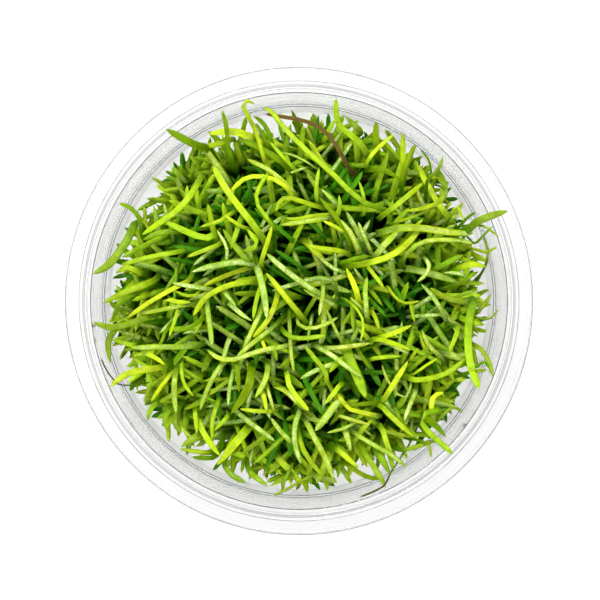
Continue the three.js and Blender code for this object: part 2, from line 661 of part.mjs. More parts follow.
function placeLowerLeaf(index, slot) {
  for (let attempt = 0; attempt < LOWER_TRIES; attempt += 1) {
    const leaf = lowerLeaf(crowns[index], index, slot, attempt);
    if (isClear(leaf, index)) {
      keepLeaf(index, leaf);
      return;
    }
  }
}

crowns.forEach((place, index) => keepCrown(index, crownSolid(place)));
UPPER_LEAVES.forEach((entry) => placeUpperLeaf(entry));
crowns.forEach((_, index) => {
  for (let slot = leafCounts[index]; slot < FEWEST_LEAVES; slot += 1) {
    placeLowerLeaf(index, slot);
  }
});

// A crown and its leaves are one solid.
function plantletSolid(index) {
  return placed
    .filter((piece) => piece.index === index)
    .map((piece) => piece.solid)
    .reduce((all, solid) => all.add(solid));
}

// The mean tone of a plantlet's leaves.
function leafColour(index) {
  const colour = new THREE.Color(0, 0, 0);
  leafTones[index].forEach((tone) => colour.add(new THREE.Color(TONES[tone])));
  return colour.multiplyScalar(1 / leafTones[index].length);
}

function named(name, geometry, material) {
  const mesh = new THREE.Mesh(geometry, material);
  mesh.name = name;
  return mesh;
}

const clearPlastic = new THREE.MeshStandardMaterial({
  color: 0xf2f5f5,
  roughness: 0.08,
  metalness: 0,
  transparent: true,
  opacity: 0.3,
});
const paleGel = new THREE.MeshStandardMaterial({
  color: 0xe9ecdf,
  roughness: 0.25,
  metalness: 0,
  transparent: true,
  opacity: 0.6,
});

const part = new THREE.Group();
part.add(named("cup", cupGeometry(), clearPlastic));
part.add(named("nutrient_gel", gelGeometry(), paleGel));
crowns.forEach((_, index) => {
  const name = `plantlet_${String(index + 1).padStart(2, "0")}`;
  const leafGreen = new THREE.MeshStandardMaterial({
    color: leafColour(index),
    roughness: 0.4,
    metalness: 0,
  });
  part.add(named(name, geometryOf(plantletSolid(index)), leafGreen));
});

export default part;
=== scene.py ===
import math

import bmesh
import bpy
import numpy as np
from bpy.props import FloatProperty, FloatVectorProperty, IntProperty, PointerProperty
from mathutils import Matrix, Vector


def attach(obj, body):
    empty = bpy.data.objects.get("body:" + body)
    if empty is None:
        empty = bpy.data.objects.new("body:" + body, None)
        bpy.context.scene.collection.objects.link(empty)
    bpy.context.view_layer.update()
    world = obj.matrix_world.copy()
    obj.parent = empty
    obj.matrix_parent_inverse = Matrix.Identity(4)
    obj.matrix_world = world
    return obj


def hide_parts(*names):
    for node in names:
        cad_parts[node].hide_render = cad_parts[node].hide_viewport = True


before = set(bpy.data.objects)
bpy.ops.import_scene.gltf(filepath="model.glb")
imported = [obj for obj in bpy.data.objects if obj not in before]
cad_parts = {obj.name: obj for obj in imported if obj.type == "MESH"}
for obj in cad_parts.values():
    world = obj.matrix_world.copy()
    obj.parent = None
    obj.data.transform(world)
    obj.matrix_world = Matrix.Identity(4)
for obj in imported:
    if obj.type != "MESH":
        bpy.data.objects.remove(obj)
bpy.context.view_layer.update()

bl_info = {
    "name": "Culture Cup of Water Plants",
    "version": (1, 0, 0),
    "blender": (4, 5, 0),
    "location": "View3D > Sidebar > Culture Cup",
    "description": "A turf of small water plants on gel, in an open clear plastic cup",
    "category": "Add Mesh",
}

# Lengths are in millimetres here, and meshes are in metres
MM = 0.001

# The cup and the gel, as the solids have them
CUP_HEIGHT = 50
FLANGE_RADIUS = 45
STEP_RADIUS = 41.4
MOUTH_RADIUS = 40
FLOOR_RADIUS = 38.7
WALL = 0.9
SEAT_DEPTH = 0.9
LIP_DROP = 2.6
FOOT_HEIGHT = 0.8
FOOT_INNER_RADIUS = 30
CORNER = 1.1
FLANGE_BEVEL = 0.7
SEAT_BEVEL = 0.2
MOUTH_BEVEL = 0.4
GEL_TOP = 13
GEL_GAP = 0.3
MENISCUS = 1.2
MENISCUS_BEND = 0.25
MENISCUS_REACH = 2.5

# How far out the step's underside goes on, as a share of the wall
STEP_UNDER = 0.95
# The meniscus's kink below the wet edge, as a share of the meniscus, and the edge's gap to the wall
MENISCUS_KINK = 0.4
EDGE_GAP = 0.1

# The crowns, and what all leaves of the solids share: where they start, how their breadth goes, how
# level they lie, and the room that they keep to the wall and to the flange's edge
PLANTLETS = 40
CROWN_FIELD_RADIUS = 31
GOLDEN_ANGLE = math.pi * (3 - math.sqrt(5))
CROWN_FOOT_RADIUS = 1.9
CROWN_NECK_RADIUS = 1.3
CROWN_HEIGHT = 2.4
LEAF_ROOT = 1
WIDEST_AT = 0.5
TIP_BLUNTNESS = 4
LEVELLING = 0.4
WALL_MARGIN = 1.2
EDGE_MARGIN = 1
ABOVE_RIM = 0.8

# Upper leaves: how each one's layer and root were tried
LAYER = 0.45
LAYERS = 26
ROOT_TRIES = 9
ROOT_SPREAD = 2.2
MIDDLE_ALONG = (0.35, 0.6)
MIDDLE_SWAY = 1.8
MIDDLE_RISE = (0.5, 0.66)
UPPER_TWIST = 0.3
DIP_SHARE = 0.3
DIP_LEAST = 1
DIP_MOST = 3.5

# Lower leaves: those of the solids, and in their form also the scene's own
LOWER_TRIES = 60
FEWEST_LEAVES = 4
LOWER_RISE = (17, 32)
LOWER_REACH = (2.5, 12)
LOWER_SWAY = 2.5
LOWER_DROOP = (-0.03, 0.2)
LOWER_WIDTH = (1.1, 1.7)
LOWER_TWIST = 0.7
LOWER_KNEE = (0.12, 0.5, 0.5)
LOWER_BEND = (0.5, 0.8, 0.93)
OUTER_SHORTENING = 0.2
OUTER_NARROWING = 0.5

# The turf's top, and the view from straight above that the upper leaves' routes are given in
DOME_TOP = 52
DOME_FALL = 6
RIM_REST = 51.5
RIM_START = 38
RIM_SLOPE = 0.8
OVER_RIM = 38.3
PIXEL = 0.1919
VIEW_MIDDLE = (299, 301)
EYE_HEIGHT = 950

# A solid has a leaf if its corners are this close to the leaf's tip and to its edge at this share
SAME_PLACE = 0.03
EDGE_CHECK = 0.7

# Leaf colours, and how much of a leaf's face has a whitish bloom, partly a painted highlight
TONES = {
    "yellow": (0.4, 0.53, 0.003),
    "pale": (0.27, 0.38, 0.003),
    "mint": (0.2, 0.34, 0.01),
    "lime": (0.29, 0.42, 0.001),
    "green": (0.15, 0.25, 0.001),
    "olive": (0.18, 0.28, 0.003),
    "deep": (0.09, 0.21, 0.001),
    "brown": (0.13, 0.075, 0.02),
    "fibre": (0.06, 0.045, 0.01),
    "inner": (0.015, 0.12, 0.0005),
    "middle": (0.06, 0.23, 0.0005),
}
BLOOM_AND_HIGHLIGHT = {"yellow": 0.16, "pale": 0.6, "mint": 1, "lime": 0.12, "olive": 0.12, "middle": 0.05}

# Fill leaves, from the lowest level to the highest: their tones in the turf's middle, darker low down as
# painted shade and partly their own deeper green, and the outer ones past this share of the crowns'
# field, brighter as painted light that comes in through the wall
FILL_TONES = [
    ["inner"],
    ["inner"],
    ["inner", "deep"],
    ["deep", "middle", "middle"],
    ["middle", "lime", "lime", "pale", "mint"],
]
OUTER_TONES = [
    ["middle"],
    ["middle", "middle", "lime"],
    ["lime", "middle"],
    ["lime", "lime", "yellow"],
    ["lime", "yellow", "yellow", "pale"],
]
BRIGHT_FROM = 0.7

# Fill leaves: rise and reach at the lowest level and how much more at the highest, width as a
# share, and room to the wall
FILL_RISE = (8, 27)
FILL_RISE_CURVE = 0.8
FILL_RISE_SPREAD = 2
FILL_LEAST_REACH = (2, 5)
FILL_MOST_REACH = (10, 8)
FILL_WIDTH = (0.7, 1)
FILL_MARGIN = (1.2, 5)

# Mat leaves: short ones that hide the gel between the crowns, in the darkest green, partly painted shade
MAT_LEAVES = 34
MAT_RISE = (1.5, 7)
MAT_REACH = (4, 9)

# Painted shade: leaves are darker low in the turf, where less light gets in, and less so by the wall,
# where light comes in; their greener hue low down is partly their own
SHADE_LOW = 16
SHADE_HIGH = 46
LIT_FROM_RADIUS = 20
LIT_TO_RADIUS = 30
LIT_BY_WALL = 0.92
LOW_LEAF_SHADE = (0.1, 0.42, 0.1)
SHADE_CURVE = (2.2, 1.1, 1)

# Leaf meshes: rows and sides, how the rows crowd towards the tip, the breadth at shares of the
# length, and how a leaf thins
UPPER_BLADE = (18, 8)
FILL_BLADE = (10, 6)
ROW_CROWDING = 1.5
BODY_SHARES = (0, 0.35, 0.6, 1)
BODY_BREADTHS = (0.5, 0.8, 1, 0.94)
LEAST_BREADTH = 0.05
THIN_FROM = 1.4
TIP_THINNING = 0.3

# What differs from leaf to leaf: the tip's length in widths, its curve and the fold along the
# middle, then the tint's light and red, where the tint is full, and the bloom with its painted highlight
TAPER = (1.6, 3.4)
FILL_TAPER = 0.62
POINT = (0.5, 0.8)
FOLD = (-0.15, 0.5)
TINT_LIGHT = (0.85, 1.12)
TINT_RED = (0.88, 1.12)
TINT_FULL_AT = (0.3, 0.85)
BLOOM_AND_HIGHLIGHT_SPREAD = (0.7, 1)

# A leaf is deep green at its base, partly its own colour and partly painted shade deep in the turf,
# and its tint starts a little below where it comes into sight
SHOWN_FROM = 0.4
TINT_EARLY = 0.06

# Each leaf has a strip of its own in the pattern
STRIP = 37

CROWN_SIDES = 14
CROWN_COLOUR = (0.1, 0.16, 0.01, 1)

# Roots: rows and sides, how far they reach and go down, and how they bend and thin
ROOT_TUBE = (10, 5)
ROOT_REACH = (2, 7)
ROOT_DEPTH = (4, 9.5)
ROOT_SHARES = (0, 0.2, 0.45, 0.7, 1)
ROOT_CURVE = 0.8
ROOT_SWAY = 0.9
ROOT_START = 0.3
ROOT_THINNING = 0.6

# Random sequences: the numbers that make them, and a key of its own for each kind of piece
MODULUS = 2147483647
MULTIPLIER = 48271
KEY_MIX = (7919, 104729, 12345)
WARM_UP = 3
FILL_KEY = 7
BLADE_KEY = 11
ROOT_KEY = 23
MAT_KEY = 31

# The upper leaves, topmost first: tone, width in pixels, and the x and y of each place on the
# route in pixels seen from above, from where the leaf comes into sight to its tip
UPPER_LEAVES = [
    # Over the rim
    ["olive", 5, 141, 231, 140, 220, 132, 209, 119, 203],
    ["olive", 8.5, 137, 222, 129, 237, 119, 253, 106, 267, 93, 274],
    ["olive", 7, 153, 315, 140, 320, 125, 325, 108, 327, 93, 322],
    ["fibre", 1.6, 120, 385, 114, 380, 107, 371, 101, 358],
    ["yellow", 7, 166, 366, 150, 369, 132, 372, 119, 379, 110, 387],
    ["green", 8, 207, 148, 196, 145, 184, 139, 166, 129],
    ["lime", 4.5, 266, 167, 262, 152, 256, 132, 248, 116, 243, 106, 248, 100, 255, 105],
    ["lime", 6.5, 367, 155, 360, 143, 348, 133, 339, 125, 336, 114, 336, 98],
    ["olive", 8, 469, 229, 475, 223, 485, 218, 497, 214, 508, 211],
    ["olive", 2.5, 483, 226, 490, 230, 499, 237], ["olive", 3.5, 474, 249, 487, 252, 497, 247],
    ["olive", 2.5, 474, 317, 483, 319, 491, 318, 499, 309],
    ["olive", 5, 473, 344, 482, 350, 489, 362, 493, 377],
    ["lime", 6, 443, 410, 430, 411, 421, 418, 426, 429, 436, 439, 453, 454],
    ["olive", 6, 360, 442, 366, 455, 374, 467, 386, 487],
    ["fibre", 2, 389, 476, 386, 484, 377, 490, 360, 497],
    # Across the middle, on top
    ["pale", 7.5, 380, 233, 400, 228, 420, 228, 440, 231, 463, 234],
    ["mint", 7.5, 258, 270, 262, 284, 265, 300, 267, 319],
    ["pale", 5, 402, 260, 410, 251, 420, 243, 437, 240, 462, 241],
    ["lime", 5.5, 347, 253, 335, 250, 320, 248, 306, 245], ["pale", 4.5, 323, 283, 323, 294, 319, 316],
    ["lime", 5, 261, 265, 265, 250, 269, 238, 272, 226],
    ["mint", 6.5, 334, 302, 318, 293, 300, 281, 284, 269, 266, 253],
    ["mint", 5, 338, 293, 332, 280, 318, 278, 295, 284, 272, 291],
    ["yellow", 6, 304, 320, 291, 304, 279, 289, 266, 273],
    ["yellow", 7, 267, 245, 255, 227, 240, 208, 226, 189, 213, 166],
    ["yellow", 5.5, 385, 210, 360, 200, 332, 173, 305, 149, 281, 124, 270, 110, 262, 108],
    ["yellow", 5, 294, 198, 283, 184, 266, 177, 246, 178, 231, 191],
    ["lime", 5, 323, 208, 306, 203, 291, 198, 280, 200, 276, 212],
    ["lime", 4.5, 274, 229, 266, 217, 256, 201, 259, 187, 268, 173],
    ["lime", 5.5, 245, 252, 258, 244, 252, 235, 247, 229],
    ["pale", 5.5, 331, 217, 315, 220, 300, 222, 281, 225],
    ["lime", 4, 330, 214, 310, 216, 297, 219, 285, 218],
    ["pale", 5.5, 276, 324, 264, 334, 251, 344, 237, 356],
    ["pale", 5.5, 262, 307, 257, 320, 250, 335, 243, 351], ["yellow", 4, 261, 339, 264, 346, 268, 354],
    ["pale", 5.5, 290, 345, 272, 348, 252, 353, 236, 359, 221, 359, 207, 350],
    ["lime", 5, 283, 331, 291, 337, 305, 338, 326, 335],
    ["pale", 4.5, 289, 316, 290, 338, 291, 355, 294, 373],
    ["mint", 5.5, 280, 322, 276, 338, 274, 352, 273, 370, 274, 389],
    ["yellow", 5.5, 278, 291, 275, 305, 268, 320, 253, 338],
    ["lime", 4.5, 266, 276, 260, 288, 256, 302, 253, 319],
    ["yellow", 5.5, 262, 263, 246, 269, 228, 275, 202, 287],
    ["yellow", 6, 382, 403, 389, 391, 398, 377, 408, 361],
    ["yellow", 6.5, 350, 266, 372, 262, 392, 255, 407, 244, 422, 226],
    ["pale", 7, 375, 257, 384, 245, 400, 230], ["pale", 4.5, 373, 257, 366, 240, 358, 222],
    ["pale", 6, 359, 254, 356, 244, 350, 232, 340, 219], ["yellow", 4, 343, 232, 334, 226, 323, 221],
    ["mint", 4.5, 346, 273, 333, 268, 324, 261, 316, 254],
    ["yellow", 6, 359, 303, 356, 290, 351, 278, 346, 268], ["green", 5, 342, 263, 355, 259, 370, 256],
    ["mint", 5.5, 318, 347, 332, 355, 346, 366, 362, 377],
    ["pale", 5.5, 320, 348, 333, 348, 350, 346, 371, 343],
    ["lime", 11, 345, 344, 349, 358, 357, 376, 366, 398],
    ["lime", 5, 322, 386, 328, 381, 325, 371, 317, 361, 305, 346],
    ["mint", 5.5, 347, 359, 333, 364, 317, 370, 300, 379], ["yellow", 5.5, 378, 338, 394, 333, 412, 325],
    ["green", 9, 252, 366, 250, 382, 244, 396, 231, 414],
    ["mint", 5.5, 236, 411, 249, 422, 260, 430, 275, 441],
    ["yellow", 5.5, 287, 374, 289, 385, 296, 396, 309, 411],
    ["pale", 5, 306, 409, 295, 400, 285, 391, 274, 387], ["pale", 6, 268, 367, 265, 380, 255, 398],
    ["lime", 9, 249, 427, 238, 440, 228, 452, 217, 465], ["yellow", 6.5, 197, 419, 206, 437, 220, 456],
    ["pale", 5.5, 228, 358, 218, 370, 210, 384, 200, 410],
    ["yellow", 6.5, 158, 375, 171, 366, 182, 353, 196, 330], ["yellow", 5, 145, 353, 156, 358, 165, 365],
    ["olive", 7, 114, 330, 108, 342, 110, 363],
    ["lime", 6.5, 202, 176, 190, 196, 175, 212, 158, 224, 142, 235],
    ["mint", 5, 213, 290, 195, 287, 172, 283],
    ["yellow", 5, 190, 279, 182, 284, 165, 293, 145, 305, 127, 318],
    ["lime", 6, 258, 282, 240, 283, 224, 287, 205, 298, 193, 316],
    ["lime", 4.5, 447, 192, 437, 203, 420, 209, 404, 211],
    ["yellow", 6.5, 455, 228, 444, 212, 432, 193, 424, 178, 417, 164],
    ["lime", 5.5, 381, 217, 398, 204, 423, 183], ["lime", 6.5, 461, 318, 470, 322, 485, 325],
    ["lime", 8.5, 473, 301, 470, 316, 468, 335, 470, 362, 479, 389],
    ["mint", 5, 446, 320, 439, 306, 431, 294, 421, 284],
    ["pale", 8, 341, 397, 333, 408, 324, 420, 315, 431], ["yellow", 5, 340, 385, 334, 393, 325, 404],
    ["yellow", 5, 379, 416, 365, 413, 350, 409, 336, 392], ["pale", 4, 337, 415, 350, 419, 370, 425],
    ["pale", 3.5, 358, 421, 345, 428, 327, 433],
    ["pale", 5, 351, 430, 362, 438, 376, 446, 390, 454, 407, 467],
    ["yellow", 6, 380, 405, 392, 417, 403, 427, 414, 437],
    ["mint", 6, 300, 408, 296, 421, 294, 434, 296, 448, 301, 464],
    ["pale", 6, 306, 421, 315, 439, 324, 455, 334, 479],
    ["lime", 5.5, 298, 430, 302, 446, 310, 460, 323, 476],
    ["pale", 5, 295, 445, 286, 437, 278, 428, 271, 418],
    # Upper edge
    ["green", 5, 232, 162, 228, 145, 226, 125, 222, 110],
    ["green", 5, 273, 148, 269, 133, 262, 122, 254, 116],
    ["brown", 4.5, 350, 170, 342, 155, 331, 138, 318, 126, 300, 120, 284, 117, 265, 114],
    ["green", 7, 377, 152, 376, 138, 376, 121], ["yellow", 4.5, 365, 166, 372, 154, 383, 143, 394, 134],
    ["olive", 6.5, 361, 132, 353, 124, 345, 116], ["lime", 6, 404, 175, 403, 155, 403, 133],
    ["green", 5, 402, 180, 406, 166, 411, 154, 416, 144],
    ["olive", 4, 428, 180, 436, 172, 441, 165, 443, 156],
    ["yellow", 8, 256, 141, 240, 133, 225, 132, 209, 134], ["lime", 6, 232, 139, 218, 144, 203, 147],
    ["green", 7, 292, 171, 275, 157, 258, 147, 238, 139], ["lime", 4, 295, 170, 283, 157, 270, 142],
    ["green", 5, 268, 148, 262, 134, 256, 123], ["lime", 4.5, 317, 202, 316, 187, 319, 168],
    ["mint", 5.5, 336, 204, 329, 196, 321, 189], ["lime", 4, 364, 214, 364, 200, 359, 181],
    ["lime", 5, 338, 214, 340, 205, 339, 195],
    # Right edge
    ["green", 3.5, 459, 227, 467, 218, 476, 212], ["olive", 9, 438, 174, 443, 182, 448, 190],
    ["lime", 3, 452, 214, 456, 205, 464, 221], ["olive", 3, 487, 262, 488, 250, 484, 237],
    ["yellow", 6, 469, 252, 478, 257, 489, 262], ["lime", 7, 460, 268, 473, 264, 487, 267],
    ["mint", 5, 427, 260, 429, 268, 424, 276, 417, 282],
    ["olive", 6, 470, 302, 457, 301, 444, 297, 430, 288], ["mint", 4.5, 465, 276, 455, 273, 444, 273],
    ["olive", 4.5, 475, 313, 483, 306, 491, 294], ["lime", 5, 458, 326, 455, 338, 449, 352],
    ["pale", 4.5, 441, 357, 432, 349, 426, 341, 422, 330], ["lime", 4, 428, 354, 423, 345, 420, 335],
    ["lime", 6, 405, 377, 418, 380, 435, 377, 450, 371, 466, 358],
    ["lime", 3, 412, 375, 425, 366, 438, 358], ["lime", 4.5, 368, 267, 375, 276, 384, 288],
    ["pale", 5.5, 367, 318, 366, 303, 365, 290, 367, 277], ["mint", 4, 360, 277, 354, 268],
    # Lower right
    ["yellow", 6, 433, 419, 431, 406, 434, 396, 444, 392],
    ["olive", 3.5, 437, 421, 446, 412, 454, 407, 463, 413],
    ["olive", 5, 402, 450, 415, 447, 427, 443, 437, 440], ["olive", 3, 429, 446, 431, 458],
    ["lime", 6, 381, 427, 386, 441, 390, 455, 393, 470], ["olive", 8, 376, 451, 383, 461, 390, 475],
    ["yellow", 6, 355, 441, 361, 431, 372, 420], ["pale", 7, 345, 429, 348, 440, 351, 451],
    ["yellow", 6, 339, 451, 348, 459, 358, 467], ["olive", 4, 384, 431, 398, 434, 414, 437],
    ["mint", 5, 383, 399, 390, 407, 397, 415], ["mint", 5, 416, 391, 410, 405, 404, 421],
    ["green", 5, 345, 463, 356, 471, 368, 477, 380, 479], ["lime", 5, 376, 339, 392, 343, 411, 350],
    ["mint", 3.5, 384, 343, 396, 348, 409, 354], ["lime", 4.5, 371, 359, 385, 357, 402, 356],
    # Lower left
    ["olive", 3, 318, 472, 305, 479, 293, 486, 273, 496], ["olive", 3, 292, 466, 286, 478, 281, 492],
    ["olive", 6, 224, 464, 232, 475, 246, 483], ["olive", 6, 250, 472, 258, 479, 268, 486],
    ["olive", 6, 291, 476, 281, 480, 270, 486], ["olive", 10, 200, 435, 190, 441, 181, 447],
    ["lime", 5, 213, 453, 200, 452, 180, 449], ["deep", 5, 215, 457, 203, 458, 192, 457],
    ["lime", 4.5, 195, 412, 196, 422, 197, 434], ["lime", 4.5, 227, 417, 214, 431],
    ["lime", 5, 219, 400, 213, 418, 212, 441], ["lime", 4.5, 273, 411, 258, 411, 240, 409],
    ["pale", 4, 266, 384, 270, 398, 274, 411], ["yellow", 5, 262, 390, 267, 411],
    ["mint", 4.5, 234, 368, 230, 384, 228, 406], ["green", 5, 236, 360, 238, 376, 239, 392],
    ["pale", 6, 176, 371, 174, 388, 176, 414], ["lime", 4, 181, 366, 184, 384, 194, 397],
    ["yellow", 4.5, 173, 373, 162, 386, 151, 402], ["olive", 3.5, 153, 373, 149, 387, 144, 403],
    ["olive", 6, 157, 402, 151, 408, 147, 421], ["deep", 8, 145, 374, 136, 380, 130, 391],
    ["olive", 5, 168, 412, 164, 423, 170, 432], ["pale", 6, 200, 345, 180, 347, 158, 347, 131, 348],
    ["lime", 5, 149, 357, 137, 361, 126, 367], ["green", 3.5, 167, 329, 160, 345, 151, 359],
    ["pale", 6, 206, 300, 208, 315, 212, 346], ["green", 4.5, 203, 319, 192, 326, 178, 332],
    ["lime", 4, 178, 309, 175, 320, 169, 337],
    # Left edge
    ["lime", 6.5, 155, 280, 142, 286, 128, 291, 103, 303], ["lime", 6, 139, 273, 128, 267, 116, 273],
    ["green", 4, 141, 291, 127, 299, 117, 308, 112, 321],
    ["lime", 3.5, 201, 290, 194, 296, 184, 295, 175, 291],
    ["lime", 7, 218, 233, 205, 238, 190, 233, 166, 222], ["olive", 6, 180, 231, 160, 233, 143, 240],
    ["lime", 5, 186, 250, 165, 254, 145, 258, 120, 265], ["yellow", 4.5, 222, 243, 205, 250, 187, 257],
    ["lime", 4.5, 234, 212, 220, 221, 200, 227], ["yellow", 4, 245, 228, 234, 222, 224, 215],
    ["lime", 5.5, 241, 218, 237, 231, 231, 249], ["mint", 4, 226, 263, 227, 248, 217, 230],
    ["mint", 4.5, 222, 289, 236, 306],
]

# Upper leaves that only the finished look has, written in the same way
BETWEEN_LAYER = 3
BETWEEN_LEAVES = [
    ["green", 2.5, 476, 243, 484, 235, 493, 226], ["pale", 5, 297, 196, 286, 184, 269, 170, 247, 159],
    ["mint", 7, 256, 266, 240, 262, 220, 265, 205, 268, 192, 272],
    ["pale", 7.5, 380, 233, 400, 228, 420, 228, 440, 231, 458, 233, 474, 233],
    ["green", 5, 353, 251, 344, 230, 336, 217, 319, 197],
    ["green", 2.5, 431, 175, 430, 163, 426, 156, 420, 150],
    ["pale", 2.5, 317, 169, 305, 161, 292, 155, 279, 152], ["mint", 3, 304, 168, 290, 173],
    ["green", 7, 370, 169, 386, 171, 399, 179],
    ["pale", 5, 402, 260, 410, 251, 420, 243, 437, 240, 457, 240, 476, 244],
    ["lime", 3.5, 392, 224, 405, 220, 420, 214, 435, 208], ["olive", 4, 455, 298, 466, 293, 479, 290],
    ["deep", 3.5, 477, 366, 484, 361, 490, 369], ["olive", 4, 476, 371, 487, 370],
    ["lime", 4, 410, 360, 418, 348], ["green", 4, 409, 371, 419, 362, 431, 352],
    ["lime", 3, 388, 287, 395, 297, 404, 303, 420, 301], ["green", 7, 424, 417, 434, 424, 446, 437],
    ["olive", 4, 395, 408, 401, 420, 409, 432], ["green", 3, 410, 388, 417, 396, 427, 405],
    ["pale", 3, 412, 380, 410, 390, 404, 399, 394, 390, 386, 377, 382, 365],
    ["green", 4.5, 378, 403, 363, 404, 349, 406], ["green", 6, 343, 411, 330, 425],
    ["green", 4, 356, 346, 363, 358, 371, 369],
    ["yellow", 3, 345, 299, 355, 307, 362, 318, 363, 330, 360, 342], ["pale", 4, 363, 311, 350, 297],
    ["lime", 4.5, 371, 310, 376, 319, 379, 330], ["pale", 3.5, 343, 344, 337, 333, 331, 320, 326, 309],
    ["pale", 4.5, 296, 318, 301, 327, 313, 328, 326, 324, 338, 317],
    ["pale", 5, 336, 306, 320, 298, 303, 289], ["lime", 7, 346, 358, 337, 363, 329, 373],
    ["pale", 3, 203, 438, 190, 436, 180, 426], ["olive", 6, 177, 412, 175, 424, 182, 433],
    ["lime", 5, 133, 345, 113, 340], ["pale", 4.5, 198, 303, 180, 306, 160, 310, 138, 314],
    ["yellow", 5, 164, 306, 166, 299, 176, 302, 191, 302],
    ["olive", 6, 251, 266, 243, 256, 233, 244, 223, 229], ["mint", 5.5, 229, 303, 240, 313, 252, 321],
]


def dice(*keys):
    """Random numbers that come out alike every time, one sequence for each set of keys."""
    state = 1
    for key in keys:
        state = (state * KEY_MIX[0] + key * KEY_MIX[1] + KEY_MIX[2]) % MODULUS
    for _ in range(WARM_UP):
        state = state * MULTIPLIER % MODULUS

    def pick(low, high):
        nonlocal state
        state = state * MULTIPLIER % MODULUS
        return low + (high - low) * state / MODULUS

    return pick


# Leaves


def unit(vectors):
    """The vectors' directions, with a length of 1."""
    return vectors / np.linalg.norm(vectors, axis=-1, keepdims=True)


def inner_radius(z):
    """The cup wall's inner radius at a height."""
    share = min(max(z / CUP_HEIGHT, 0), 1)
    return FLOOR_RADIUS + (MOUTH_RADIUS - FLOOR_RADIUS) * share


def crown_place(index):
    """Where a plantlet's crown stands on the gel: the crowns lie as seeds in a sunflower do."""
    radius = CROWN_FIELD_RADIUS * math.sqrt((index + 0.5) / PLANTLETS)
    angle = index * GOLDEN_ANGLE
    return np.array([radius * math.cos(angle), radius * math.sin(angle), GEL_TOP])


def kept_inside(place):
    """The place itself, or the nearest one inside the cup's wall or the flange's edge."""
    above = place[2] > CUP_HEIGHT + ABOVE_RIM
    most = FLANGE_RADIUS - EDGE_MARGIN if above else inner_radius(place[2]) - WALL_MARGIN
    radius = math.hypot(place[0], place[1])
    if radius > most:
        place[:2] *= most / radius
    return place


class Rib:
    """A smooth curve through points, read by the share of its length."""

    SAMPLES = 200
    NEAR = 0.0001

    def __init__(self, points):
        self.points = np.array(points, float)
        self.shares = np.linspace(0, 1, self.SAMPLES + 1)
        spans = np.linalg.norm(np.diff(self.at(self.shares), axis=0), axis=1)
        self.lengths = np.concatenate([[0], np.cumsum(spans)])
        self.length = self.lengths[-1]

    def at(self, shares):
        """Places on a centripetal Catmull-Rom curve, at shares of its parameter."""
        points = self.points
        ends = np.vstack([2 * points[0] - points[1], points, 2 * points[-1] - points[-2]])
        spot = np.clip(shares, 0, 1) * (len(points) - 1)
        span = np.minimum(spot.astype(int), len(points) - 2)
        t = (spot - span)[:, None]
        p0, p1, p2, p3 = (ends[span + i] for i in range(4))
        d0, d1, d2 = (
            np.sqrt(np.linalg.norm(b - a, axis=1))[:, None] for a, b in ((p0, p1), (p1, p2), (p2, p3))
        )
        m1 = ((p1 - p0) / d0 - (p2 - p0) / (d0 + d1) + (p2 - p1) / d1) * d1
        m2 = ((p2 - p1) / d1 - (p3 - p1) / (d1 + d2) + (p3 - p2) / d2) * d1
        c2 = -3 * p1 + 3 * p2 - 2 * m1 - m2
        c3 = 2 * p1 - 2 * p2 + m1 + m2
        return p1 + (m1 + (c2 + c3 * t) * t) * t

    def even(self, shares):
        """Places and directions at even shares of the length."""
        t = np.interp(np.asarray(shares) * self.length, self.lengths, self.shares)
        ahead = self.at(np.minimum(t + self.NEAR, 1)) - self.at(np.maximum(t - self.NEAR, 0))
        return self.at(t), unit(ahead)


def frames(leaf, shares):
    """Places along a leaf, with the directions across it and out of its upper side."""
    places, along = leaf["rib"].even(shares)
    across = np.cross(along + LEVELLING * leaf["heading"], [0, 0, 1])
    across -= along * np.sum(across * along, axis=1)[:, None]
    across = unit(across)
    turn = (leaf["twist"] * np.asarray(shares))[:, None]
    across = across * np.cos(turn) + np.cross(along, across) * np.sin(turn)
    return places, across, np.cross(across, along)


def seen_at(pixel, height):
    """The place at a height that is seen at a pixel of the view from above."""
    scale = PIXEL * (EYE_HEIGHT - height) / (EYE_HEIGHT - CUP_HEIGHT)
    x = (pixel[0] - VIEW_MIDDLE[0]) * scale
    y = (VIEW_MIDDLE[1] - pixel[1]) * scale
    return np.array([x, y, height])


def rest_height(radius, over_rim):
    """The turf's top at a radius: a dome, or what a leaf over the rim rests on."""
    dome = DOME_TOP - DOME_FALL * (radius / RIM_START) ** 2
    rest = RIM_REST - RIM_SLOPE * max(0, RIM_START - radius)
    return max(dome, rest) if over_rim else dome


def visible_stretch(route, layer):
    """The places of a leaf's route, each layer lower in the turf, or higher over the rim."""
    flat = [seen_at(pixel, CUP_HEIGHT) for pixel in route]
    radii = [math.hypot(place[0], place[1]) for place in flat]
    over_rim = any(radius > OVER_RIM for radius in radii)
    dip = min(max(DIP_SHARE * np.linalg.norm(flat[-1] - flat[0]), DIP_LEAST), DIP_MOST)
    shift = layer * LAYER if over_rim else -layer * LAYER
    heights = [rest_height(radius, over_rim) + shift for radius in radii]
    heights[0] -= dip
    return [seen_at(pixel, height) for pixel, height in zip(route, heights)]


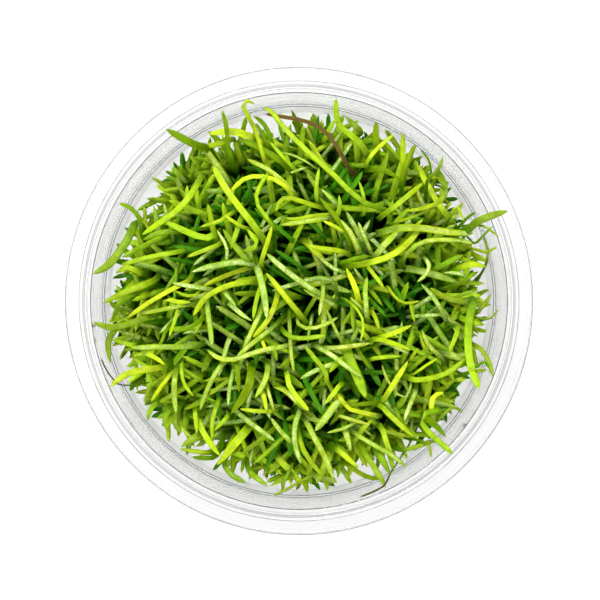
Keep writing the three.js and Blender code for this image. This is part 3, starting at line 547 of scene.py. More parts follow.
def upper_leaf(entry, crown, layer, attempt):
    """A leaf from its crown through the turf to where it comes into sight, and along its route."""
    tone, pixels, *route = entry
    pick = dice(*route[-1], attempt)
    stretch = visible_stretch(route, layer)
    start, tip = stretch[0], stretch[-1]
    azimuth = math.atan2(start[1] - crown[1], start[0] - crown[0]) + pick(-ROOT_SPREAD, ROOT_SPREAD)
    root = np.array([
        crown[0] + LEAF_ROOT * math.cos(azimuth),
        crown[1] + LEAF_ROOT * math.sin(azimuth),
        GEL_TOP + CROWN_HEIGHT / 2,
    ])
    middle = root + (start - root) * pick(*MIDDLE_ALONG)
    middle[0] += pick(-MIDDLE_SWAY, MIDDLE_SWAY)
    middle[1] += pick(-MIDDLE_SWAY, MIDDLE_SWAY)
    middle[2] = GEL_TOP + pick(*MIDDLE_RISE) * (start[2] - GEL_TOP)
    rib = Rib([root, kept_inside(middle), *stretch])
    seen = sum(np.linalg.norm(b - a) for a, b in zip(stretch[:-1], stretch[1:]))
    return {
        "rib": rib,
        "heading": unit((tip - start) * [1, 1, 0]),
        "tone": tone,
        "width": pixels * PIXEL,
        "twist": pick(-UPPER_TWIST, UPPER_TWIST),
        "shown": 1 - seen / rib.length,
    }


def between_leaf(entry, crowns):
    """An upper leaf that only the finished look has, on the crown nearest to it."""
    start = visible_stretch(entry[2:], BETWEEN_LAYER)[0]
    index = int(np.argmin([np.linalg.norm(crown[:2] - start[:2]) for crown in crowns]))
    return index, upper_leaf(entry, crowns[index], BETWEEN_LAYER, 0)


def grown_leaf(crown, pick, rise_range, reach_range, tone, room=None):
    """A leaf that grows from its crown in a direction of its own, no further out than its room."""
    outwardness = math.hypot(crown[0], crown[1]) / CROWN_FIELD_RADIUS
    spread = math.pi * (1 - OUTER_NARROWING * outwardness)
    azimuth = math.atan2(crown[1], crown[0]) + pick(-spread, spread)
    heading = np.array([math.cos(azimuth), math.sin(azimuth), 0])
    across = np.array([-heading[1], heading[0], 0])
    rise = pick(*rise_range) * (1 - OUTER_SHORTENING * outwardness**2)
    reach = pick(*reach_range)
    if room is not None:
        reach = min(reach, way_out(crown, heading, room))
    sway = pick(-LOWER_SWAY, LOWER_SWAY)
    droop = pick(*LOWER_DROOP) * reach

    def at(along, side, height):
        place = crown + heading * along + across * side
        place[2] = GEL_TOP + height
        return kept_inside(place)

    def bend_at(bend, start):
        return at(start + bend[0] * reach, bend[1] * sway, bend[2] * rise)

    knee, bend = bend_at(LOWER_KNEE, LEAF_ROOT), bend_at(LOWER_BEND, 0)
    rib = Rib([at(LEAF_ROOT, 0, CROWN_HEIGHT / 2), knee, bend, at(reach, 0, rise - droop)])
    twist = pick(-LOWER_TWIST, LOWER_TWIST)
    return {"rib": rib, "heading": heading, "tone": tone, "width": pick(*LOWER_WIDTH), "twist": twist}


def way_out(crown, heading, radius):
    """How far a leaf can reach from its crown before it is at a radius."""
    along = float(crown[:2] @ heading[:2])
    return max(math.sqrt(max(along**2 + radius**2 - float(crown[:2] @ crown[:2]), 0)) - along, 1)


def fill_leaf(crown, index, number, settings):
    """One of the many leaves between those of the solids: greener and darker the lower it is, partly
    painted shade.
    """
    pick = dice(index, number, settings.seed, FILL_KEY)
    level = (number + pick(0, 1)) / settings.fill_leaves
    rise = FILL_RISE[0] + FILL_RISE[1] * level**FILL_RISE_CURVE
    rise_range = (rise - FILL_RISE_SPREAD, rise + FILL_RISE_SPREAD)
    reach_range = [least + more * level for least, more in (FILL_LEAST_REACH, FILL_MOST_REACH)]
    outer = math.hypot(crown[0], crown[1]) > BRIGHT_FROM * CROWN_FIELD_RADIUS
    levels = OUTER_TONES if outer else FILL_TONES
    tones = levels[min(int(level * len(levels)), len(levels) - 1)]
    tone = tones[int(pick(0, len(tones)))]
    room = FLOOR_RADIUS - pick(*FILL_MARGIN)
    leaf = grown_leaf(crown, pick, rise_range, reach_range, tone, room)
    leaf["width"] *= pick(*FILL_WIDTH)
    return leaf


def mat_leaf(crown, index, number):
    """One of the short leaves that hide the gel between the crowns, dark green, partly as painted shade.
    """
    pick = dice(index, number, MAT_KEY)
    room = FLOOR_RADIUS - pick(*FILL_MARGIN)
    return grown_leaf(crown, pick, MAT_RISE, MAT_REACH, "inner", room)


# The leaves of the solids


class Corners:
    """The corners of one plantlet's solid."""

    def __init__(self, index):
        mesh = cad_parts[f"plantlet_{index + 1:02d}"].data
        places = np.zeros(len(mesh.vertices) * 3, np.float32)
        mesh.vertices.foreach_get("co", places)
        self.places = places.reshape(-1, 3).astype(float) / MM

    def has(self, place):
        """Whether a corner lies at a place."""
        return np.min(np.sum((self.places - place) ** 2, axis=1)) < SAME_PLACE**2

    def has_edge(self, leaf):
        """Whether a corner lies on the leaf's right edge, at the share where edges are compared."""
        places, across, _ = frames(leaf, [EDGE_CHECK])
        to_tip = (EDGE_CHECK - WIDEST_AT) / (1 - WIDEST_AT)
        breadth = math.sqrt(1 - to_tip**TIP_BLUNTNESS)
        return self.has(places[0] + across[0] * leaf["width"] * 0.5 * breadth)


def routed(rows):
    """Rows of leaves with their routes as places: tone, width and then the places."""
    return [(tone, pixels, *zip(numbers[::2], numbers[1::2])) for tone, pixels, *numbers in rows]


def solid_leaves():
    """The leaves of the plantlets' solids, found again by their corners: a list for each plantlet."""
    crowns = [crown_place(index) for index in range(PLANTLETS)]
    corners = [Corners(index) for index in range(PLANTLETS)]
    found = [[] for _ in crowns]
    lost = []
    for entry in routed(UPPER_LEAVES):
        index, leaf = find_upper(entry, crowns, corners)
        if leaf is None:
            lost.append(entry)
        else:
            found[index].append(leaf)
    for index, crown in enumerate(crowns):
        found[index] += find_lower(index, crown, corners[index])
    for entry in routed(BETWEEN_LEAVES):
        index, leaf = between_leaf(entry, crowns)
        found[index].append(leaf)
    if lost:
        raise ValueError(f"{len(lost)} upper leaves aren't in the solids: {lost[:3]}")
    return found


def find_upper(entry, crowns, corners):
    """The plantlet that has an upper leaf, and the leaf as its solid has it."""
    for layer in range(LAYERS):
        tip = visible_stretch(entry[2:], layer)[-1]
        for index, crown in enumerate(crowns):
            if not corners[index].has(tip):
                continue
            for attempt in range(ROOT_TRIES):
                leaf = upper_leaf(entry, crown, layer, attempt)
                if corners[index].has_edge(leaf):
                    return index, leaf
    return None, None


def find_lower(index, crown, corners):
    """The lower leaves that a plantlet's solid has."""
    found = []
    for slot in range(FEWEST_LEAVES):
        for attempt in range(LOWER_TRIES):
            leaf = grown_leaf(crown, dice(index, slot, attempt), LOWER_RISE, LOWER_REACH, "green")
            if corners.has(leaf["rib"].points[-1]) and corners.has_edge(leaf):
                found.append(leaf)
                break
    return found


# Shapes

# Faces that meet at a larger angle than this, in radians, aren't shaded as one in moulded pieces
CRISP_ANGLE = 0.2
# The profile's corners that are rounded meet at more than this, in radians
CUP_CORNER = 0.4
GEL_CORNER = 0.5
GEL_ROUND = 0.1 * MM
# Points nearer than this are one, and an edge is level within this height
MERGE_WITHIN = 0.02 * MM
LEVEL_WITHIN = 0.001 * MM


def mesh_from(bm, name):
    """A bmesh as a mesh."""
    mesh = bpy.data.meshes.new(name)
    bm.to_mesh(mesh)
    bm.free()
    return mesh


def tie(mesh, name, material, replaces=(), slot="leaf", crisp=False):
    """Makes a finished piece from its mesh and ties it to the frame."""
    mesh.materials.append(material)
    mesh.shade_smooth()
    if crisp:
        mesh.set_sharp_from_angle(angle=CRISP_ANGLE)
    piece = bpy.data.objects.new(name, mesh)
    bpy.context.scene.collection.objects.link(piece)
    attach(piece, "root")
    if replaces:
        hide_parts(*replaces)
    return piece


def link(bm, name, material, **details):
    """Makes a finished piece from a bmesh."""
    return tie(mesh_from(bm, name), name, material, **details)


def turned(profile, steps):
    """A closed body of revolution from (radius, height) pairs that start and end on the axis."""
    bm = bmesh.new()
    verts = [bm.verts.new((radius * MM, 0, height * MM)) for radius, height in profile]
    for a, b in zip(verts[:-1], verts[1:]):
        bm.edges.new((a, b))
    geom = bm.verts[:] + bm.edges[:]
    middle, axis = (0, 0, 0), (0, 0, 1)
    bmesh.ops.spin(bm, geom=geom, cent=middle, axis=axis, angle=math.tau, steps=steps, use_merge=True)
    bmesh.ops.remove_doubles(bm, verts=bm.verts[:], dist=MERGE_WITHIN)
    bmesh.ops.recalc_face_normals(bm, faces=bm.faces[:])
    return bm


def soften(bm, offset, least_angle):
    """Rounds the rings where two faces meet at an angle."""
    rings = [
        edge
        for edge in bm.edges
        if len(edge.link_faces) == 2
        and edge.calc_face_angle() > least_angle
        and abs(edge.verts[0].co.z - edge.verts[1].co.z) < LEVEL_WITHIN
    ]
    bmesh.ops.bevel(
        bm, geom=rings, affect="EDGES", offset=offset, offset_type="OFFSET", segments=2,
        profile=0.5, material=-1,
    )


def unit_tube(rows, sides):
    """The places and triangles of a closed tube of radius 1 from 0 to 1 along Z, in rows."""
    bm = bmesh.new()
    bmesh.ops.create_cone(bm, cap_ends=True, cap_tris=True, segments=sides, radius1=1, radius2=1, depth=1)
    bmesh.ops.translate(bm, verts=bm.verts[:], vec=(0, 0, 0.5))
    upright = [edge for edge in bm.edges if abs(edge.verts[0].co.z - edge.verts[1].co.z) > 0.5]
    bmesh.ops.subdivide_edges(bm, edges=upright, cuts=rows - 1)
    bmesh.ops.triangulate(bm, faces=bm.faces[:])
    bm.verts.index_update()
    places = np.array([vert.co[:] for vert in bm.verts])
    faces = np.array([[vert.index for vert in face.verts] for face in bm.faces])
    bm.free()
    return places, faces


def outline(leaf, share):
    """How wide a leaf is at shares of its length: parallel edges, and a tip that closes quickly."""
    to_tip = leaf["rib"].length * (1 - share) / (leaf["width"] * leaf["taper"])
    closing = (1 - (1 - np.clip(to_tip, 0, 1)) ** 2) ** leaf["point"]
    body = np.interp(share, BODY_SHARES, BODY_BREADTHS)
    return np.maximum(body * closing, LEAST_BREADTH)


def blade(tube, leaf, thickness):
    """The unit tube's places, flattened and bent along a leaf's rib."""
    share = 1 - (1 - tube[:, 2]) ** ROW_CROWDING
    places, across, upper = frames(leaf, share)
    wide = outline(leaf, share)
    half = leaf["width"] * 0.5 * wide
    deep = thickness * 0.5 * np.minimum(1, wide * THIN_FROM) * (1 - TIP_THINNING * share)
    side = tube[:, 0] * half
    lift = leaf["fold"] * (tube[:, 0] ** 2) * half - deep
    lift += tube[:, 1] * deep
    return places + across * side[:, None] + upper * lift[:, None], share


def shaded(colour, places):
    """A leaf's colour at each place: darker low in the turf as painted shade, and greener, partly its own.
    """
    low = (places[:, 2] - SHADE_LOW) / (SHADE_HIGH - SHADE_LOW)
    radius = np.hypot(places[:, 0], places[:, 1])
    beside = LIT_BY_WALL * np.clip((radius - LIT_FROM_RADIUS) / (LIT_TO_RADIUS - LIT_FROM_RADIUS), 0, 1)
    light = np.clip(np.maximum(low, beside), 0, 1)[:, None] ** np.array(SHADE_CURVE)
    shade = np.array(LOW_LEAF_SHADE)
    return colour * (shade + (1 - shade) * light)


def coloured(leaf, share, places, tones, pick):
    """A leaf's colour at each place, deep green at its base as partly painted shade, with its bloom and
    highlight.
    """
    tint = np.array(tones[leaf["tone"]]) * pick(*TINT_LIGHT) * np.array([pick(*TINT_RED), 1, 1])
    base = tint if leaf["tone"] == "brown" else np.array(tones["deep"])
    shown = leaf.get("shown", SHOWN_FROM)
    # The deep green base, partly painted shade, gives way to the tint further up
    paled = (share - shown + TINT_EARLY) / ((1 - shown) * pick(*TINT_FULL_AT))
    blend = np.clip(paled, 0, 1)
    colour = base * (1 - blend[:, None]) + tint * blend[:, None]
    bloom_and_highlight = blend * BLOOM_AND_HIGHLIGHT.get(leaf["tone"], 0) * pick(*BLOOM_AND_HIGHLIGHT_SPREAD)
    return np.clip(shaded(colour, places), 0, 1), bloom_and_highlight


def joined_blades(upper, fill, thickness, tones, seed):
    """One mesh of many leaves, with each leaf's tone and painted shade, its bloom and painted highlight,
    and its own strip of the pattern.
    """
    upper_tube, fill_tube = unit_tube(*UPPER_BLADE), unit_tube(*FILL_BLADE)
    blades = [(leaf, 1, *upper_tube) for leaf in upper]
    blades += [(leaf, FILL_TAPER, *fill_tube) for leaf in fill]
    parts = []
    count = 0
    for number, (leaf, tip_length, tube, faces) in enumerate(blades):
        pick = dice(seed, number, BLADE_KEY)
        leaf["taper"] = pick(*TAPER) * tip_length
        leaf["point"] = pick(*POINT)
        leaf["fold"] = pick(*FOLD)
        places, share = blade(tube, leaf, thickness)
        colour, bloom_and_highlight = coloured(leaf, share, places, tones, pick)
        pattern = np.stack([tube[:, 0], share * leaf["rib"].length + STRIP * number], axis=1)
        parts.append((places, faces + count, colour, bloom_and_highlight, pattern))
        count += len(tube)
    places, faces, colours, bloom_and_highlight, pattern = (np.concatenate(column) for column in zip(*parts))
    mesh = bpy.data.meshes.new("leaves")
    mesh.from_pydata((places * MM).tolist(), [], faces.tolist())
    tone = mesh.attributes.new("tone", "FLOAT_COLOR", "POINT")
    opaque = np.ones((len(colours), 1))
    tone.data.foreach_set("color", np.hstack([colours, opaque]).astype(np.float32).ravel())
    whitish = mesh.attributes.new("bloom_and_highlight", "FLOAT", "POINT")
    whitish.data.foreach_set("value", bloom_and_highlight.astype(np.float32))
    corners = np.zeros(len(mesh.loops), np.int32)
    mesh.loops.foreach_get("vertex_index", corners)
    layer = mesh.uv_layers.new(name="leaf")
    layer.data.foreach_set("uv", pattern[corners].astype(np.float32).ravel())
    mesh.update()
    return mesh


def plantlet(index, leaves, settings, material):
    """A crown and all its leaves, in place of the plantlet's solid."""
    crown = crown_place(index)
    tones = {name: getattr(settings, f"{name}_tone") for name in TONES}
    fill = [fill_leaf(crown, index, number, settings) for number in range(settings.fill_leaves)]
    fill += [mat_leaf(crown, index, number) for number in range(MAT_LEAVES)]
    mesh = joined_blades(leaves, fill, settings.leaf_thickness / MM, tones, index)
    bm = bmesh.new()
    bm.from_mesh(mesh)
    bpy.data.meshes.remove(mesh)
    foot, neck, depth = CROWN_FOOT_RADIUS * MM, CROWN_NECK_RADIUS * MM, CROWN_HEIGHT * MM
    made = bmesh.ops.create_cone(
        bm, cap_ends=True, segments=CROWN_SIDES, radius1=foot, radius2=neck, depth=depth
    )
    bmesh.ops.translate(bm, verts=made["verts"], vec=crown * MM + [0, 0, depth / 2])
    tone = bm.verts.layers.float_color["tone"]
    for vert in made["verts"]:
        vert[tone] = CROWN_COLOUR
    name = f"plantlet_{index + 1:02d}"
    return link(bm, f"{name}_leaves", material, replaces=[name])


def root_tube(tube, rib, radius):
    """The unit tube's places along a root's rib, thinner towards its tip."""
    places, along = rib.even(tube[:, 2])
    side = unit(np.cross(along, [0.3, 0.2, 1]))
    across = np.cross(side, along)
    thin = radius * (1 - ROOT_THINNING * tube[:, 2])
    return places + side * (tube[:, 0] * thin)[:, None] + across * (tube[:, 1] * thin)[:, None]


def root_rib(crown, pick):
    """A root that wanders down and outwards through the gel."""
    turn = pick(0, math.tau)
    reach = pick(*ROOT_REACH)
    depth = pick(*ROOT_DEPTH)
    heading = np.array([math.cos(turn), math.sin(turn), 0])
    across = np.array([-heading[1], heading[0], 0])
    points = []
    for share in ROOT_SHARES:
        sway = pick(-ROOT_SWAY, ROOT_SWAY) * share
        place = crown + heading * reach * share**ROOT_CURVE + across * sway
        place[2] = GEL_TOP + ROOT_START - depth * share
        points.append(kept_inside(place))
    return Rib(points)


# Finishes

# How grey the rim is painted from the mouth (0) to the flange's edge (1): painted shade for the lines
# that light running along the plastic makes there
RIM_PAINTED_SHADE = [
    (0, 0.97),
    (0.05, 0.98),
    (0.21, 0.97),
    (0.24, 0.35),
    (0.32, 0.35),
    (0.35, 0.8),
    (0.4, 0.81),
    (0.94, 0.81),
    (0.965, 0.35),
    (1, 0.35),
]

# Painted shade: the gel's top is dark green under the turf, and between which radii it fades
UNDER_TURF_SHADE = (0.12, 0.2, 0.03)
UNDER_TURF_SHADE_FROM = 23
UNDER_TURF_SHADE_TO = 30
UNDER_TURF_SHADE_DEPTH = 0.2

# The dark line painted as shade at the gel's edge by the wall, where refraction makes it: between
# which distances from its rim it fades, its depth and colour
DARK_EDGE = (0.1, 0.24)
EDGE_DEPTH = 0.3
EDGE_SHADE_COLOUR = (0.05, 0.08, 0.07)

# What a whitish bloom, partly a painted highlight, and a painted highlight along the edge make of a leaf's
# colour
BLOOM_AND_HIGHLIGHT_COLOUR = (0.72, 0.82, 0.4)
PAINTED_EDGE_HIGHLIGHT = (1.18, 1.22, 0.2)

# Past its glow radius the floor dims to this share, at this many times the radius
FAR_GLOW = 0.25
GLOW_FALL = 3.2


def new_material(name):
    """A material with its shader, ready for its inputs."""
    finish = bpy.data.materials.new(name)
    finish.use_nodes = True
    tree = finish.node_tree
    tree.nodes.clear()
    shader = tree.nodes.new("ShaderNodeBsdfPrincipled")
    output = tree.nodes.new("ShaderNodeOutputMaterial")
    tree.links.new(shader.outputs["BSDF"], output.inputs["Surface"])
    return finish, tree, shader


def feed(tree, node, inputs):
    """Links outputs to a node's inputs, and sets plain values on them."""
    for key, value in inputs.items():
        if isinstance(value, bpy.types.NodeSocket):
            tree.links.new(value, node.inputs[key])
        else:
            node.inputs[key].default_value = value


def add_node(tree, kind, output, inputs=None, **settings):
    """A new node's output."""
    node = tree.nodes.new(f"ShaderNode{kind}")
    for key, value in settings.items():
        setattr(node, key, value)
    feed(tree, node, inputs or {})
    return node.outputs[output]


def times(tree, a, b):
    """Two values multiplied."""
    return add_node(tree, "Math", "Value", {0: a, 1: b}, operation="MULTIPLY")


def times_each(tree, a, b):
    """Two vectors or colours multiplied, each part by its own."""
    return add_node(tree, "VectorMath", "Vector", {0: a, 1: b}, operation="MULTIPLY")


def scaled(tree, vector, factor):
    """A vector or colour times a value."""
    return add_node(tree, "VectorMath", "Vector", {0: vector, "Scale": factor}, operation="SCALE")


def beyond(tree, value, limit):
    """1 where a value is greater than a limit, otherwise 0."""
    return add_node(tree, "Math", "Value", {0: value, 1: limit}, operation="GREATER_THAN")


def mapped(tree, value, span, target, smooth=False):
    """A value's way through one span, as its way through another."""
    inputs = {"Value": value, "From Min": span[0], "From Max": span[1]}
    inputs |= {"To Min": target[0], "To Max": target[1]}
    curve = "SMOOTHSTEP" if smooth else "LINEAR"
    return add_node(tree, "MapRange", "Result", inputs, interpolation_type=curve)


def mixed(tree, factor, a, b):
    """Colour a, and colour b as far as the factor says."""
    inputs = {"Factor": factor, "A": a, "B": b}
    return add_node(tree, "Mix", "Result", inputs, data_type="VECTOR")


def ramped(tree, factor, stops):
    """The colour at the factor between stops, which are (place, colour) pairs."""
    node = tree.nodes.new("ShaderNodeValToRGB")
    elements = node.color_ramp.elements
    while len(elements) < len(stops):
        elements.new(1)
    for element, (place, colour) in zip(elements, stops):
        element.position = place
        element.color = (*colour, 1)
    tree.links.new(factor, node.inputs["Fac"])
    return node.outputs["Color"]


def speckled(tree, noise, colour, darkening, span=(0, 1)):
    """A colour that noise darkens in places."""
    low, high = span
    return ramped(tree, noise, [(low, [darkening * value for value in colour]), (high, colour)])


def object_noise(tree, cell, detail=3, roughness=0.55):
    """Noise on the piece's own coordinates, with the size of its cells in millimetres."""
    place = add_node(tree, "TexCoord", "Object")
    inputs = {"Vector": place, "Scale": 1 / (cell * MM), "Detail": detail, "Roughness": roughness}
    return add_node(tree, "TexNoise", "Fac", inputs)


def object_radius(tree):
    """The distance from the upright axis, on the piece's own coordinates."""
    flat = times_each(tree, add_node(tree, "TexCoord", "Object"), (1, 1, 0))
    return add_node(tree, "VectorMath", "Value", {0: flat}, operation="LENGTH")


def object_height(tree):
    """The height on the piece's own coordinates."""
    return add_node(tree, "SeparateXYZ", "Z", {"Vector": add_node(tree, "TexCoord", "Object")})


def bumped(tree, height, strength, distance):
    """The surface's direction with fine relief, whose distance is in millimetres."""
    inputs = {"Height": height, "Strength": strength, "Distance": distance * MM}
    return add_node(tree, "Bump", "Normal", inputs)


def stripes(tree, where, direction, scale, distortion):
    """Wavy stripes across one direction of the leaves' pattern."""
    inputs = {"Vector": where, "Scale": scale, "Distortion": distortion, "Detail": 1}
    return add_node(tree, "TexWave", "Fac", inputs, wave_type="BANDS", bands_direction=direction)


def leaf_material(settings):
    """Living leaf: each leaf's tone, with veins along it, cross walls, mottling, a whitish bloom that is
    partly a painted highlight, and a painted highlight along its edges.
    """
    finish, tree, shader = new_material("living_leaf")
    tone = add_node(tree, "Attribute", "Color", attribute_type="GEOMETRY", attribute_name="tone")
    where = add_node(tree, "UVMap", "UV", uv_map="leaf")
    mottle = object_noise(tree, 1.6)
    veins = mapped(tree, stripes(tree, where, "X", 1.1, 0.6), (0, 1), (0.84, 1.18))
    walls = mapped(tree, stripes(tree, where, "Y", 0.55, 1.2), (0, 1), (0.985, 1.015))
    patches = mapped(tree, mottle, (0.3, 0.7), (0.76, 1.2))
    light = times(tree, times(tree, veins, walls), patches)
    sideways = add_node(tree, "SeparateXYZ", "X", {"Vector": where})
    outwards = add_node(tree, "Math", "Value", {0: sideways}, operation="ABSOLUTE")
    colour = scaled(tree, with_bloom_and_highlight(tree, tone, outwards), light)
    # Painted highlight: each leaf's edges are lighter and yellower
    rim = mapped(tree, outwards, (0.62, 1), (0, 0.8), smooth=True)
    shine = (settings.leaf_roughness - 0.08, settings.leaf_roughness + 0.08)
    feed(tree, shader, {
        "Base Color": mixed(tree, rim, colour, times_each(tree, colour, PAINTED_EDGE_HIGHLIGHT)),
        "Roughness": mapped(tree, mottle, (0, 1), shine),
        "Normal": bumped(tree, light, 0.35, 0.25),
        "Subsurface Weight": 0.3,
        "Subsurface Radius": (0.7, 1, 0.2),
        "Subsurface Scale": 0.7 * MM,
        "Specular IOR Level": 0.16,
        "Specular Tint": (0.9, 1, 0.45, 1),
    })
    return finish


def with_bloom_and_highlight(tree, colour, outwards):
    """The leaf's colour with a speckled, whitish bloom along its middle, partly a painted highlight."""
    share = add_node(tree, "Attribute", "Fac", attribute_type="GEOMETRY", attribute_name="bloom_and_highlight")
    middle = mapped(tree, outwards, (0.4, 0.9), (1, 0), smooth=True)
    spots = mapped(tree, object_noise(tree, 0.3, detail=2, roughness=0.7), (0.4, 0.6), (0.15, 1))
    patches = mapped(tree, object_noise(tree, 2.2, detail=2), (0.35, 0.6), (0.25, 1))
    factor = times(tree, times(tree, share, middle), times(tree, spots, patches))
    return mixed(tree, factor, colour, BLOOM_AND_HIGHLIGHT_COLOUR)


def plastic_material(settings):
    """Thin clear polypropylene, faintly rippled from moulding, with painted shade in grey rings on the
    rim.
    """
    finish, tree, shader = new_material("clear_plastic")
    outwards = mapped(tree, object_radius(tree), (MOUTH_RADIUS * MM, FLANGE_RADIUS * MM), (0, 1))
    # Painted shade: grey and dark rings on the rim, where light runs through the plastic
    rim_painted_shade = ramped(tree, outwards, [(place, (grey, grey, grey)) for place, grey in RIM_PAINTED_SHADE])
    rim_foot, rim_top = CUP_HEIGHT - LIP_DROP, CUP_HEIGHT - SEAT_DEPTH - MOUTH_BEVEL
    on_rim = mapped(tree, object_height(tree), (rim_foot * MM, rim_top * MM), (0, 1))
    feed(tree, shader, {
        "Base Color": mixed(tree, on_rim, tuple(settings.colour), rim_painted_shade),
        "Normal": bumped(tree, object_noise(tree, 9, detail=2), 0.04, 0.4),
        "Roughness": mapped(tree, object_noise(tree, 2.5), (0, 1), (0.03, 0.08)),
        "Transmission Weight": settings.clearness,
        "IOR": 1.25,
    })
    return finish


def gel_material(settings):
    """Cloudy nutrient gel, wet on top, with painted shade on its top under the turf and a painted
    dark line at its edge by the wall.
    """
    finish, tree, shader = new_material("nutrient_gel")
    radius = object_radius(tree)
    cloud = speckled(tree, object_noise(tree, 6, detail=4), settings.colour, 0.9, (0.3, 0.7))
    # Painted shade on the gel's top under the turf
    under_turf = mapped(tree, radius, (UNDER_TURF_SHADE_FROM * MM, UNDER_TURF_SHADE_TO * MM), (1, 0))
    on_top = beyond(tree, object_height(tree), (GEL_TOP - UNDER_TURF_SHADE_DEPTH) * MM)
    shaded_under_turf = mixed(tree, times(tree, under_turf, on_top), cloud, UNDER_TURF_SHADE)
    # Painted shade: a dark line at the gel's edge by the wall
    rim = inner_radius(GEL_TOP) - EDGE_GAP
    near_wall = mapped(tree, radius, [(rim - inset) * MM for inset in reversed(DARK_EDGE)], (0, 1))
    by_edge = times(tree, near_wall, beyond(tree, object_height(tree), (GEL_TOP - EDGE_DEPTH) * MM))
    feed(tree, shader, {
        "Base Color": mixed(tree, by_edge, shaded_under_turf, EDGE_SHADE_COLOUR),
        "Normal": bumped(tree, object_noise(tree, 3, detail=2), 0.2, 0.3),
        "Roughness": 0.2,
        "Subsurface Weight": 0.6,
        "Subsurface Radius": (1, 1, 0.9),
        "Subsurface Scale": 5 * MM,
        "Transmission Weight": settings.clearness,
        "IOR": 1.16,
    })
    return finish


def root_material():
    """Fine roots, cream and light brown in turns."""
    finish, tree, shader = new_material("fine_root")
    stops = [(0, (0.55, 0.46, 0.3)), (1, (0.85, 0.82, 0.68))]
    tint = ramped(tree, object_noise(tree, 1.2), stops)
    feed(tree, shader, {"Base Color": tint, "Roughness": 0.6})
    return finish


def floor_material(settings):
    """A pale floor that shines evenly under and beside the cup, and less further off."""
    finish, tree, shader = new_material("pale_floor")
    grain = speckled(tree, object_noise(tree, 30, detail=2), settings.floor_colour, 0.99)
    fall = (settings.glow_radius, GLOW_FALL * settings.glow_radius)
    shine = mapped(tree, object_radius(tree), fall, (1, FAR_GLOW), smooth=True)
    feed(tree, shader, {
        "Base Color": grain,
        "Roughness": 0.7,
        "Specular IOR Level": 0.1,
        "Emission Color": scaled(tree, (1, 1, 1), shine),
        "Emission Strength": settings.floor_glow,
    })
    return finish


# Settings


def tint_property(name, description, default):
    """A colour that a user can change."""
    return FloatVectorProperty(
        name=name, description=description, subtype="COLOR", default=default, min=0, max=1
    )


def share_property(name, description, default, low=0, high=1):
    """A share between two ends that a user can change."""
    return FloatProperty(
        name=name, description=description, subtype="FACTOR", default=default, min=low, max=high
    )


def length_property(name, description, default, least=0):
    """A length that a user can change, from millimetres."""
    return FloatProperty(
        name=name, description=description, unit="LENGTH", default=default * MM, min=least * MM
    )


class CupSettings(bpy.types.PropertyGroup):
    colour: tint_property("Plastic", "Tint of the clear plastic", (0.99, 0.995, 0.995))
    clearness: share_property("Clearness", "Share of light that passes", 0.985)
    ring_steps: IntProperty(name="Steps", description="Facets round the cup", default=144, min=36, max=256)
    edge_round: length_property("Edge rounding", "How far the moulded edges are rounded", 0.12)


class GelSettings(bpy.types.PropertyGroup):
    colour: tint_property("Gel", "Colour of the cloudy gel", (0.97, 0.97, 0.94))
    clearness: share_property("Clearness", "Share of light that passes", 0.8)


class TurfSettings(bpy.types.PropertyGroup):
    fill_leaves: IntProperty(
        name="More leaves", description="Leaves of a plantlet besides its solid's", default=60, min=1
    )
    leaf_thickness: length_property("Leaf thickness", "Thickness at a leaf's base", 0.5, 0.1)
    leaf_roughness: share_property("Leaf roughness", "Roughness of the leaves' skin", 0.38, 0.1, 0.9)
    seed: IntProperty(name="Seed", description="Another seed grows other inner leaves", default=5)


for tone_name, tone_colour in TONES.items():
    TurfSettings.__annotations__[f"{tone_name}_tone"] = tint_property(
        f"{tone_name.capitalize()} leaves", f"Colour of the {tone_name} leaves", tone_colour
    )


class RootSettings(bpy.types.PropertyGroup):
    per_plantlet: IntProperty(name="Roots", description="Roots of each plantlet", default=5, min=1, max=20)
    radius: length_property("Root radius", "Radius of a root at its crown", 0.14, 0.02)


class StageSettings(bpy.types.PropertyGroup):
    floor_colour: tint_property("Floor", "Colour of the plain floor", (0.27, 0.27, 0.27))
    floor_glow: FloatProperty(
        name="Floor glow", description="Light that the pale floor gives from below", default=0.9, min=0
    )
    glow_radius: length_property("Glow radius", "How far the floor gives its full light", 84)
    sky_strength: FloatProperty(
        name="Sky", description="Strength of the light from all round", default=1.35, min=0
    )
    lamp_watts: FloatProperty(
        name="Soft lamp", description="Power of the soft lamp", unit="POWER", default=50, min=0
    )
    eye_height: length_property("Camera height", "Height of the camera above the floor", EYE_HEIGHT, 200)


class CultureCupSettings(bpy.types.PropertyGroup):
    cup: PointerProperty(type=CupSettings)
    gel: PointerProperty(type=GelSettings)
    turf: PointerProperty(type=TurfSettings)
    roots: PointerProperty(type=RootSettings)
    stage: PointerProperty(type=StageSettings)


# Operators


